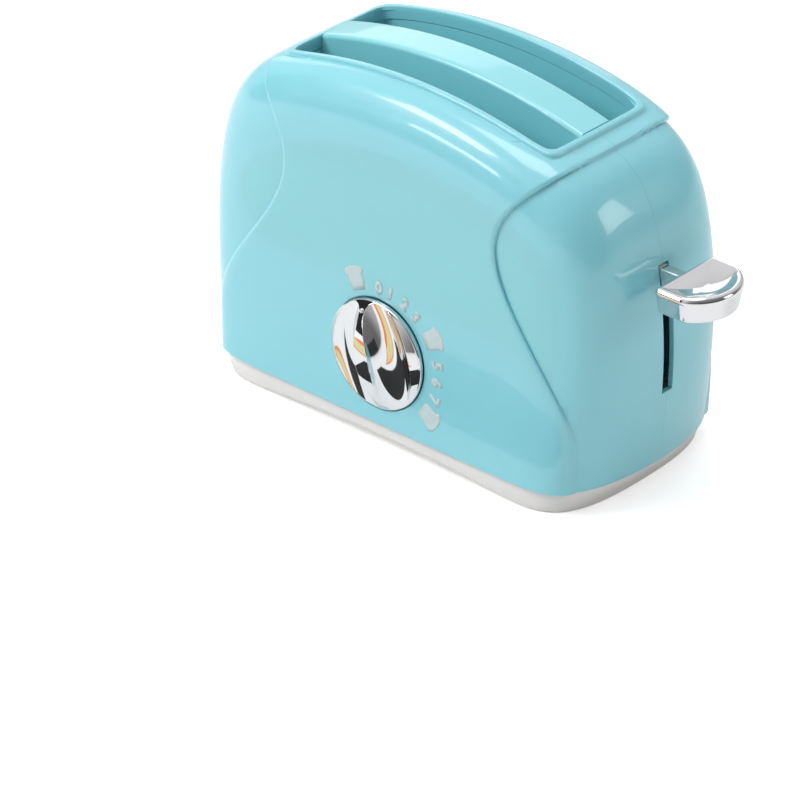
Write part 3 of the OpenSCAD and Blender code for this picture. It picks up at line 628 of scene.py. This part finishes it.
def box_loop(a, b):
    """Plan outline |x/a|^m + |y/b|^m = 1 of a box with barely rounded corners."""
    w = np.arange(corner_points) / corner_points
    q = (w ** well_corner + (1 - w) ** well_corner) ** (1 / well_corner)
    quarter = np.stack([a * (1 - w) / q, b * w / q], -1)
    second = np.stack([-a * w / q, b * (1 - w) / q], -1)
    half = np.concatenate([quarter, second])
    return np.concatenate([half, -half])


inner, outer = box_loop(slot_x, slot_y), box_loop(slot_x + guide_wall, slot_y + guide_wall)
top_in, top_out = top_z(inner[:, 0]) - well_below, top_z(outer[:, 0]) - well_below
low = np.full(len(inner), guide_z)
loops = [np.column_stack([inner, low]), np.column_stack([inner, top_in]),
         np.column_stack([outer, top_out]), np.column_stack([outer, low])]
faces = grid_quads(len(loops), len(inner), close_rows=True, close_cols=True)
wells = recalculate(add_piece("guide_walls", np.array(loops), faces, guide_turquoise_painted_light))

# %% [markdown]
# ## The white base
# A skirt with an arched lower edge, and a floor inside it. An arch cut through a block
# would have sharp edges. So it is one closed form of rings, each a plan outline drawn
# in or out a little at its own height. The lower rings follow the skirt and the arch,
# the upper ones the body's foot, so the base meets the body all the way round.

# %% Outlines of the base
base_x, base_y, base_arch = 84.8, 44.0, 3.2
base_ends, base_front, arch_reach = 12, 2.6, 0.8
oval_points = 64


def oval(a, b, m, n):
    """Closed plan outline |x/a|^m + |y/b|^n = 1, anticlockwise from +X."""
    w = np.arange(oval_points) / oval_points
    q = w ** n + (1 - w) ** m
    x, y = a * (1 - w) / q ** (1 / m), b * w / q ** (1 / n)
    v = 1 - w
    q2 = v ** n + (1 - v) ** m
    x2, y2 = -a * (1 - v) / q2 ** (1 / m), b * v / q2 ** (1 / n)
    half = np.stack([np.concatenate([x, x2]), np.concatenate([y, y2])], -1)
    return np.concatenate([half, -half])


def base_ring(inset, z, lift):
    """A level of the skirt, raised towards the middle by a share lift of the arch,
    which falls off as 1 - (x / reach)^2."""
    p = oval(base_x - inset, base_y - inset, base_ends, base_front)
    rise = base_arch * np.maximum(0, 1 - (p[:, 0] / (arch_reach * base_x)) ** 2)
    return np.column_stack([p, z + lift * rise])


def body_ring(inset, z):
    """A flat level with the outline of the body's foot."""
    p = oval(half_x(0.0) - inset, half_y(0.0) - inset, exp_x0, exp_y0)
    return np.column_stack([p, np.full(len(p), z)])


print("points round the base:", len(base_ring(0, 0, 0)))

# %% Base
under_z, floor_z = 4.6, 6.2
spigot = cheek_step + wall + 0.4
spigot_in = spigot + 1.6
skirt_form = [
    (3.4, under_z, 0), (2.1, 0.1, 1), (1.8, 0, 1), (0.8, 0, 1),
    (0.35, 0.12, 1), (0.1, 0.45, 0.95), (0, 0.9, 0.9), (-0.6, 3.4, 0.5)]
seat_form = [
    (2.0, 8.9), (2.1, 9.2), (2.4, 9.25), (spigot, 9.25),
    (spigot, 11.9), (spigot_in, 11.9), (spigot_in, floor_z)]
rings = np.array([base_ring(*row) for row in skirt_form] + [body_ring(*row) for row in seat_form])
points, faces = closed_rings(rings, [0, 0, under_z], [0, 0, floor_z])
base_skirt = recalculate(add_piece("base_skirt", points, faces, soft_white))
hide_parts("base_plate")

# %% [markdown]
# ## Feet and sockets
# Four round posts under the base take the base screws in recessed holes, and two
# sockets inside it hold the guide rods. Each is a closed profile turned about an
# upright axis, as a Screw modifier would do, but all four feet are one piece here.

# %% Feet
foot_x, foot_y = 74, 30
foot_form = [(1.45, 3.4), (2.9, 3.4), (2.9, 0.3), (3.2, 0), (4.7, 0), (5, 0.3), (5, 9.2),
             (1.45, 9.2)]


def turned(profile, centres, sides=48):
    """A closed profile of (radius, height) pairs turned about each upright axis."""
    a = full_turn(sides)
    p = np.array(profile, float)
    x, y = p[:, 0, None] * np.cos(a), p[:, 0, None] * np.sin(a)
    ring = np.stack([x, y, np.repeat(p[:, 1:], sides, 1)], -1)
    copies = [ring.reshape(-1, 3) + [x, y, 0] for x, y in centres]
    quads = grid_quads(len(p), sides, close_rows=True, close_cols=True)
    faces = np.vstack([quads + k * len(p) * sides for k in range(len(centres))])
    return np.vstack(copies), faces


corners = [(x, y) for x in (-foot_x, foot_x) for y in (-foot_y, foot_y)]
feet = recalculate(add_piece("base_feet", *turned(foot_form, corners), soft_white))

# %% Sockets of the guide rods
rod_x, rod_r, rod_slack = 68.0, 1.6, 0.03
rod_places = [(-rod_x, 0), (rod_x, 0)]
hole_r = rod_r + rod_slack
socket_form = [(hole_r, 7), (hole_r, 13.7), (rod_r + 0.4, 14), (4.4, 14), (4.6, 13.8),
               (4.6, 5.2), (0.5, 5.2), (0.5, 7)]
sockets = recalculate(add_piece("rod_sockets", *turned(socket_form, rod_places), soft_white))

# %% [markdown]
# ## Brackets of the guide rods
# At their upper ends the rods sit in two flat collars that belong to the bread guides.
# They are the same kind of turned form, so the helper above makes them too.

# %% Brackets
bracket_r, bracket_z = 6.8, (106, 110)
bracket_form = [(hole_r, bracket_z[0]), (bracket_r, bracket_z[0]),
                (bracket_r, bracket_z[1]), (hole_r, bracket_z[1])]
brackets = recalculate(add_piece("rod_brackets", *turned(bracket_form, rod_places), guide_turquoise_painted_light))

# %% [markdown]
# ## The plated dial
# The dial is a shallow dome with two crescent finger hollows, each part of a ring of
# round section. The height of its face over a place is the lower of the dome and of
# the two rings, and a smooth minimum rounds the ridges between them a little. A
# Boolean cut would leave them razor sharp, and plating shows every flaw.

# %% Face of the dial
dial_r, dial_crown, dial_edge = 21.0, 9.2, 1.3
grip_w, pointer_a = 3.5, -14.0
dome_rise = dial_crown - dial_edge
dome_r = (dial_r ** 2 + dome_rise ** 2) / (2 * dome_rise)
hollow_r, hollow_bend, hollow_reach, hollow_lift = 8.5, 42.5, 0.97, 0.2
hollow_off = grip_w + hollow_reach * hollow_r
hollow_axis = dial_edge + hollow_lift + hollow_r
ridge_round = 0.16


def dial_height(u, v):
    """Height over the front at u across the grip and v along it. A ring's floor at a
    place w from its centre line is axis - sqrt(r^2 - w^2)."""
    dome = dial_crown - dome_r + np.sqrt(dome_r ** 2 - u ** 2 - v ** 2)
    w = np.hypot(np.abs(u) + hollow_bend - hollow_off, v) - hollow_bend
    floor = hollow_axis - np.sqrt(np.maximum(hollow_r ** 2 - w ** 2, 0))
    k = ridge_round
    gap = np.clip(0.5 + 0.5 * (floor - dome) / k, 0, 1)
    return floor * (1 - gap) + dome * gap - k * gap * (1 - gap)


print("grip's height in the middle:", round(float(dial_height(0.0, 0.0)), 2), "mm")

# %% Places on the dial
face_y = front_y(0, dial_z)


def round_dial(u, v, degrees):
    """Place (x, z) of (u, v) turned clockwise about the dial's centre."""
    a = math.radians(degrees)
    return (dial_x + u * math.cos(a) + v * math.sin(a),
            dial_z - u * math.sin(a) + v * math.cos(a))


def on_dial(u, v, out):
    """Places (u, v, out) on the turned dial in the frame of the toaster."""
    x, z = round_dial(u, v, pointer_a)
    return np.stack(np.broadcast_arrays(x, -face_y - out, z), -1)


print("dial's face stands at y", round(float(-face_y), 2), "mm")

# %% Dial
# The edge's rows give radius past the dial's and height over the face. Rows deeper
# than edge_deep count from the flat rim instead.
dial_sides, centre_r, fine_r, fine_end = 480, 0.15, (19.6, 19.65), 0.5
edge_form = [(-0.25, -0.10), (-0.08, -0.32), (0, -0.65), (0, -2.5), (-0.3, -2.75)]
edge_deep, edge_share = -1, 0.985
a = full_turn(dial_sides)
r = np.concatenate([np.linspace(centre_r, fine_r[0], 140),
                    np.linspace(fine_r[1], dial_r - fine_end, 10)])
u, v = r[:, None] * np.cos(a), r[:, None] * np.sin(a)
face_rings = on_dial(u, v, dial_height(u, v))
past, rise = np.array(edge_form).T[:, :, None]
u, v = (dial_r + past) * np.cos(a), (dial_r + past) * np.sin(a)
edge = dial_height(u * edge_share, v * edge_share)
edge_rings = on_dial(u, v, np.where(rise > edge_deep, edge + rise, dial_edge + rise))
first = on_dial(0.0, 0.0, dial_height(0.0, 0.0))
last = on_dial(0.0, 0.0, dial_edge + edge_form[-1][1])
points, faces = closed_rings(np.concatenate([face_rings, edge_rings]), first, last)
dial = recalculate(add_piece("dial_face", points, faces, plating, body="dial", smooth_angle=60))
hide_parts("dial_knob")

# %% [markdown]
# ## Pointer dot
# A small bead at the end of the grip shows which number the dial points at. A flattened
# sphere would do. Half an ellipse turned about its axis has no hidden half, and its
# foot is sunk a little into the grip, so that no gap shows.

# %% Pointer dot on the dial
dot_v, dot_r, dot_rise = 0.83 * dial_r, 1.05, 0.75
dot_sink, dot_foot = 0.25, 0.3
s = np.linspace(0, np.pi / 2, 10)[:-1]
bead = np.stack([dot_r * np.cos(s), dot_rise * np.sin(s)], -1)
out_r, rise = np.concatenate([[[dot_r, -dot_foot]], bead]).T[:, :, None]
b = full_turn(32)
dot_out = dial_height(0.0, dot_v) - dot_sink
rings = on_dial(out_r * np.cos(b), dot_v + out_r * np.sin(b), dot_out + rise)
points, faces = closed_rings(rings, on_dial(0.0, dot_v, dot_out - dot_foot),
                             on_dial(0.0, dot_v, dot_out + dot_rise))
dot = recalculate(add_piece("pointer_dot", points, faces, plating, body="dial"))

# %% [markdown]
# ## The plated lever
# The lever's plan is a flat side towards the body, two straight flanks and a broad
# rounded tip. The same outline, drawn in by a distance, gives every ring of the form:
# the lower edge, the side, the rolled upper edge and the dished top. A bevelled block
# would round all its edges alike, and this one's upper edge is rounder than its lower.

# %% Outline of the lever
lever_z, lever_t, lever_y, lever_x0, lever_x1 = 86.8, 9.8, 15.6, 97.8, 119.78
tip_r, corner_r, heel_r, least_heel = 17.5, 7.0, 1.6, 0.25
tip_x = lever_x1 - tip_r
corner_y = lever_y - corner_r
corner_x = tip_x + math.sqrt((tip_r - corner_r) ** 2 - corner_y ** 2)
tip_a = math.atan2(corner_y, corner_x - tip_x)


def arc(cx, cy, r, a0, a1, count):
    """Points on a circle from angle a0 to a1."""
    t = np.linspace(a0, a1, count)
    return np.stack([cx + r * np.cos(t), cy + r * np.sin(t)], -1)


def lever_outline(inset):
    """Plan of the lever drawn in by inset: arcs keep their centres and lose radius."""
    heel = max(heel_r - inset, least_heel)
    hx, hy = lever_x0 + inset + heel, lever_y - inset - heel
    flank = np.stack([np.linspace(corner_x, hx, 10)[1:-1], np.full(8, lever_y - inset)], -1)
    flat = np.stack([np.full(12, lever_x0 + inset), np.linspace(hy, 0, 13)[1:]], -1)
    half = np.concatenate([
        arc(tip_x, 0, tip_r - inset, 0, tip_a, 24),
        arc(corner_x, corner_y, corner_r - inset, tip_a, np.pi / 2, 18)[1:],
        flank, arc(hx, hy, heel, np.pi / 2, np.pi, 10), flat])
    return np.concatenate([half, (half * [1, -1])[::-1][1:-1]])


def lever_ring(inset, rise):
    """The outline drawn in by inset, as a level ring."""
    plan = lever_outline(inset)
    return np.column_stack([plan, np.full(len(plan), lever_z + rise)])


print("points round the lever:", len(lever_outline(0)))

# %% Lever
dish, dish_edge, dish_power, dish_rows, dish_shift = 1.9, -0.18, 2.4, 20, -0.3
lever_form = [
    (3.0, -lever_t), (1.9, -lever_t + 0.05), (1.45, -lever_t + 0.35), (1.3, -lever_t + 0.9),
    (0.25, -2.9), (0.05, -2.4), (0.0, -2.0), (0.07, -1.5), (0.25, -1.0), (0.6, -0.5),
    (1.05, -0.15), (1.6, 0.0), (2.05, -0.03), (2.5, dish_edge)]
side_rings = np.array([lever_ring(*row) for row in lever_form])
middle = np.array([(lever_x0 + lever_x1) / 2 + dish_shift, 0, lever_z + dish_edge - dish])
share = np.linspace(1, 0, dish_rows)[1:-1, None]
dish_rings = middle + (side_rings[-1] - middle) * share[:, :, None]
dish_rings[:, :, 2] = lever_z + dish_edge - dish * (1 - share ** dish_power)
rings = np.concatenate([side_rings, dish_rings])
points, faces = closed_rings(rings, [middle[0], 0, lever_z - lever_t], middle)
lever = recalculate(add_piece("lever_tab", points, faces, plating, body="carriage",
                              smooth_angle=50))
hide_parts("lever_knob")

# %% [markdown]
# ## Neck of the lever
# A short flat neck joins the lever to the stem that comes out of the slot. A bevelled
# box would do. A rounded rectangle carried along the length needs only one formula,
# sign(cos t) |cos t|^p across and the same with the sine upwards.

# %% Neck of the lever
neck_z0, neck_h, neck_half = lever_z - 8, 7.0, 2.5
neck_power = 2 / 7
neck_in_lever = 1.5
neck_middle = neck_z0 + neck_h / 2
t = full_turn(48)
neck_y = neck_half * np.sign(np.cos(t)) * np.abs(np.cos(t)) ** neck_power
neck_z = neck_middle + neck_h / 2 * np.sign(np.sin(t)) * np.abs(np.sin(t)) ** neck_power
stations = [90.0, 92.0, 94.0, 96.0, 98.0, lever_x0 + neck_in_lever]
rings = np.array([np.column_stack([np.full(len(t), x), neck_y, neck_z]) for x in stations])
points, faces = closed_rings(rings, [stations[0], 0, neck_middle], [stations[-1], 0, neck_middle])
neck = recalculate(add_piece("lever_neck", points, faces, plating, body="carriage"))

# %% [markdown]
# ## Lift springs
# A spring is a circle carried along a helix. A curve with a round
# bevel could make the same coil, but it would have to become a mesh all the same.

# %% Springs
curls, coil_r, wire_r, spring_z = 9, 3.2, 0.45, (14.55, 71.75)
curl_steps, wire_sides, crowding = 40, 12, 1.12


def spring(name, node, x):
    """Tube whose centre line is a helix that crowds a little at both ends."""
    t = np.linspace(0, 1, curls * curl_steps + 1)
    b = full_turn(wire_sides)
    rise = np.where(t < 0.5, (2 * t) ** crowding / 2, 1 - (2 - 2 * t) ** crowding / 2)
    a = 2 * np.pi * curls * t
    out = np.stack([np.cos(a), np.sin(a), np.zeros_like(a)], -1)
    axis_z = spring_z[0] + (spring_z[1] - spring_z[0]) * rise
    line = coil_r * out + np.stack([np.full_like(t, x), 0 * t, axis_z], -1)
    across = out[:, None] * np.cos(b)[None, :, None]
    along = np.array([0, 0, 1]) * np.sin(b)[None, :, None]
    points, faces = closed_rings(line[:, None] + wire_r * (across + along), line[0], line[-1])
    piece = recalculate(add_piece(name, points, faces, steel))
    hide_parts(node)
    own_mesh(piece)


spring("spring_left", "lift_spring_left", -rod_x)
spring("spring_right", "lift_spring_right", rod_x)

# %% [markdown]
# ## Printed marks
# Seven digits and three little slice signs are printed round the dial in a pale grey.
# Each starts as a flat drawing, and then every point is placed on the curved front, a
# hair in front of it. A picture on the body's material could carry them too, but as
# thin pieces they keep their crisp edges at any size.

# %% Print on the front
ink = 0.04


def printed(name, flat_points, faces, angle, radius):
    """Carries a flat drawing to the front: its own up direction points away from the
    dial's centre, at angle degrees clockwise from the top."""
    x, z = round_dial(flat_points[:, 0], flat_points[:, 1] + radius, angle)
    placed = np.stack([x, -front_y(x, z) - ink, z], -1)
    piece = add_piece(name, placed, faces, print_grey)
    depth = piece.modifiers.new("ink", "SOLIDIFY")
    depth.thickness = ink * MM
    depth.offset = 1


print("ink is", ink, "mm thick")

# %% Digits
digit_size, digit_weight, digit_steps = 6.4, 0.4, 4
digit_places = (("0", -1, 25.6), ("1", 11, 25.6), ("2", 26, 26.0), ("3", 39.5, 26.3),
                ("5", 79.5, 27.5), ("6", 93.5, 27.3), ("7", 107.5, 27.5))


def digit(text, angle, radius):
    """A text object turned into a mesh and centred on its own height."""
    curve = bpy.data.curves.new("digit", "FONT")
    curve.body = text
    curve.align_x, curve.align_y = "CENTER", "CENTER"
    curve.size, curve.offset, curve.resolution_u = digit_size, digit_weight, digit_steps
    holder = bpy.data.objects.new("digit", curve)
    bpy.context.collection.objects.link(holder)
    bpy.context.view_layer.update()
    graph = bpy.context.evaluated_depsgraph_get()
    drawn = bpy.data.meshes.new_from_object(holder.evaluated_get(graph))
    flat = np.empty(3 * len(drawn.vertices))
    drawn.vertices.foreach_get("co", flat)
    flat = flat.reshape(-1, 3)[:, :2]
    faces = [list(p.vertices) for p in drawn.polygons]
    bpy.data.objects.remove(holder)
    centred = flat - [0, (flat[:, 1].max() + flat[:, 1].min()) / 2]
    printed("digit_" + text, centred, faces, angle, radius)


for text, angle, radius in digit_places:
    digit(text, angle, radius)

# %% Slice signs
sign_size, sign_scales = 9.0, (0.35, 0.7, 1.0)
sign_places = ((-23.7, 28.0), (60, 28.6), (122.8, 29.2))


def slice_sign(name, angle, radius):
    """Filled outline with straight sides and a wider, crowned top: the ears bulge by a
    sine and the crown is a quarter of an ellipse on each side."""
    t = np.linspace(0, 1, 9)
    foot = [[0.34, -0.5], [0.40, -0.1], [0.40, 0.12]]
    ear = np.stack([0.42 + 0.10 * np.sin(np.pi * t), 0.14 + 0.26 * t], -1)
    crown = np.stack([0.40 * np.cos(np.pi / 2 * t), 0.40 + 0.10 * np.sin(np.pi / 2 * t)], -1)
    half = np.concatenate([foot, ear, crown[1:]])
    outline = np.concatenate([half, (half * [-1, 1])[::-1][1:]]) * sign_size
    middle = outline.mean(0)
    rows = np.array([middle + (outline - middle) * s for s in sign_scales])
    faces = grid_quads(len(rows), len(outline), close_cols=True).tolist()
    faces.append(list(range(len(outline))))
    printed(name, rows.reshape(-1, 2), faces, angle, radius)


for number, (angle, radius) in enumerate(sign_places):
    slice_sign(f"slice_sign_{number + 1}", angle, radius)

# %% [markdown]
# ## Floor
# A plain white floor keeps a soft shadow. Lit by lamps alone it would come out grey,
# so its material adds a white that only the camera sees, and a little of it that
# the plating mirrors. The light on the toaster stays as it was.

# %% Floor
floor_half, paper_white = 6, 0.9
floor_shares = (("Is Camera Ray", 0.45), ("Is Transmission Ray", 0.45), ("Is Glossy Ray", 0.06))


def plain_plane(name, corners, material):
    """One flat face that belongs to the stage and not to the toaster."""
    mesh = bpy.data.meshes.new(name)
    mesh.from_pydata(corners, [], [list(range(len(corners)))])
    mesh.materials.append(material)
    plane = bpy.data.objects.new(name, mesh)
    bpy.context.collection.objects.link(plane)
    print(name, "set up")
    return plane


def floor_material():
    """White paper: diffuse for the shadow, plus a glow whose strength is the sum of
    the shares of the kinds of ray that see it."""
    material = bpy.data.materials.new("floor_paper")
    material.use_nodes = True
    nodes, links = material.node_tree.nodes, material.node_tree.links
    nodes.clear()
    path = nodes.new("ShaderNodeLightPath")
    total = None
    for ray, share in floor_shares:
        part = nodes.new("ShaderNodeMath")
        part.operation = "MULTIPLY_ADD"
        part.inputs[1].default_value = share
        part.inputs[2].default_value = 0.0
        links.new(path.outputs[ray], part.inputs[0])
        if total:
            links.new(total, part.inputs[2])
        total = part.outputs[0]
    glow = nodes.new("ShaderNodeEmission")
    links.new(total, glow.inputs["Strength"])
    paper = nodes.new("ShaderNodeBsdfDiffuse")
    paper.inputs["Color"].default_value = (paper_white, paper_white, paper_white, 1)
    both = nodes.new("ShaderNodeAddShader")
    links.new(glow.outputs[0], both.inputs[0])
    links.new(paper.outputs[0], both.inputs[1])
    out = nodes.new("ShaderNodeOutputMaterial")
    links.new(both.outputs[0], out.inputs["Surface"])
    return material


def level(x0, x1, y0, y1, z):
    """Corners of a rectangle that lies level at height z."""
    return [(x0, y0, z), (x1, y0, z), (x1, y1, z), (x0, y1, z)]


floor_corners = level(-floor_half, floor_half, -floor_half, floor_half, 0)
plain_plane("floor", floor_corners, floor_material())

# %% [markdown]
# ## The room
# The room gives the soft light from all sides. Seen by the camera it is white. As
# light it is a little weaker, more so from the right and from below, so that the end
# with the lever falls into a soft shade. A picture of a studio would do as well, but
# two smooth slopes are enough.

# %% Room
world = bpy.data.worlds.new("studio")
bpy.context.scene.world = world
world.use_nodes = True
nodes, links = world.node_tree.nodes, world.node_tree.links
background = nodes["Background"]


def maths(operation, *values):
    """A maths node fed by other nodes' outputs."""
    node = nodes.new("ShaderNodeMath")
    node.operation = operation
    for socket, value in zip(node.inputs, values):
        links.new(value, socket)
    return node.outputs[0]


def slope(value, start, end, low, high):
    """Runs smoothly from low to high as the value runs from start to end."""
    node = nodes.new("ShaderNodeMapRange")
    node.interpolation_type = "SMOOTHSTEP"
    links.new(value, node.inputs["Value"])
    limits = (("From Min", start), ("From Max", end), ("To Min", low), ("To Max", high))
    for name, number in limits:
        node.inputs[name].default_value = number
    return node.outputs["Result"]


way = nodes.new("ShaderNodeSeparateXYZ")
links.new(nodes.new("ShaderNodeTexCoord").outputs["Generated"], way.inputs[0])
path = nodes.new("ShaderNodeLightPath")
seen = maths("MAXIMUM", path.outputs["Is Camera Ray"], path.outputs["Is Transmission Ray"])
from_right = slope(way.outputs["X"], start=0.0, end=0.7, low=1.0, high=0.28)
from_above = slope(way.outputs["Z"], start=0.1, end=0.9, low=0.55, high=0.85)
room = maths("MULTIPLY", from_right, from_above)
links.new(maths("MAXIMUM", seen, room), background.inputs["Strength"])
background.inputs["Color"].default_value = (1, 1, 1, 1)
print("nodes of the room:", len(nodes))

# %% [markdown]
# ## Lamps
# Three soft square lamps, as in a small studio: the main one from the front left, one
# straight above, and a weak one that lifts the shaded end. Small or far lamps would
# throw hard shadows. Large ones give the long soft shines of a glossy moulding.

# %% Lamps
def lamp(name, place, target, size, power):
    """A square soft lamp that faces its target."""
    data = bpy.data.lights.new(name, "AREA")
    data.shape, data.size, data.energy = "SQUARE", size, power
    light = bpy.data.objects.new(name, data)
    light.location = place
    light.rotation_euler = (Vector(target) - Vector(place)).to_track_quat("-Z", "Y").to_euler()
    bpy.context.collection.objects.link(light)
    print(name, "lamp of", power, "watts")


lamp("key", place=(-0.9, -1.1, 1.3), target=(0, 0, 0.06), size=0.7, power=15)
lamp("top", place=(-0.1, 0.1, 1.6), target=(0, 0, 0.1), size=0.8, power=7.5)
lamp("side", place=(1.2, 0.75, 0.55), target=(0, 0, 0.06), size=0.5, power=3)

# %% [markdown]
# ## Cards for the plating
# Plating shows only what stands round it, and in an empty white room it looks like
# grey paint. So dark, bright and warm cards stand and lie where the camera and the
# shadows don't find them, and only mirrors see them.

# %% Cards
card_roughness = 0.9
near_black, dark_grey, white = (0.012, 0.012, 0.014, 1), (0.02, 0.02, 0.022, 1), (1, 1, 1, 1)


def card(name, corners, colour, glow=0.0):
    """A flat card in one plain colour, which may glow."""
    material = bpy.data.materials.new(name)
    material.use_nodes = True
    shader = material.node_tree.nodes["Principled BSDF"]
    shader.inputs["Base Color"].default_value = colour
    shader.inputs["Roughness"].default_value = card_roughness
    shader.inputs["Emission Color"].default_value = colour
    shader.inputs["Emission Strength"].default_value = glow
    plane = plain_plane(name, corners, material)
    plane.visible_camera = plane.visible_shadow = False
    plane.visible_diffuse = plane.visible_transmission = False


def upright(start, end, z0, z1):
    """Corners of a rectangle that stands over a line, from height z0 to z1."""
    return [(*start, z0), (*end, z0), (*end, z1), (*start, z1)]


card("dark_wall", upright((-1.6, -0.4), (-0.2, -1.5), 0.02, 1.15), near_black)
card("dark_side", upright((1.1, -0.9), (1.4, 0.4), 0.05, 0.35), dark_grey)
card("bright_wall", upright((-1.15, 0.45), (-0.45, 1.05), 0.30, 0.78), white, glow=0.5)
card("bright_strip", upright((-0.95, -0.95), (-0.45, -1.25), 0.44, 0.56), white, glow=10)
card("orange_card", level(-0.20, 0.06, -0.30, -0.120, 0.010), srgb(240, 130, 60))
card("cream_card", level(-0.19, 0.05, -0.20, -0.125, 0.0105), srgb(228, 216, 160))
card("dark_card", level(-0.035, 0.10, -0.105, -0.066, 0.008), near_black)

# %% [markdown]
# ## Camera
# A long lens from far away, 42 degrees round to the right and 30 degrees up, shows the
# front, the lever's end and the slots at once, with almost parallel edges. Colours are
# shown as they are, without a film look.

# %% Camera
camera_place = Vector((0.92935, -1.08097, 0.82937))
round_a, above_a = math.radians(41.5704), math.radians(30.2305)
lens_mm, sensor_mm = 207.0, 36.0
look = Vector((-math.sin(round_a) * math.cos(above_a), math.cos(round_a) * math.cos(above_a),
               -math.sin(above_a)))
eye = bpy.data.cameras.new("camera")
eye.lens, eye.sensor_width = lens_mm, sensor_mm
camera = bpy.data.objects.new("camera", eye)
camera.location = camera_place
camera.rotation_euler = look.to_track_quat("-Z", "Y").to_euler()
bpy.context.collection.objects.link(camera)
bpy.context.scene.camera = camera
bpy.context.scene.view_settings.view_transform = "Standard"
print("camera is", round(camera_place.length, 2), "m away")
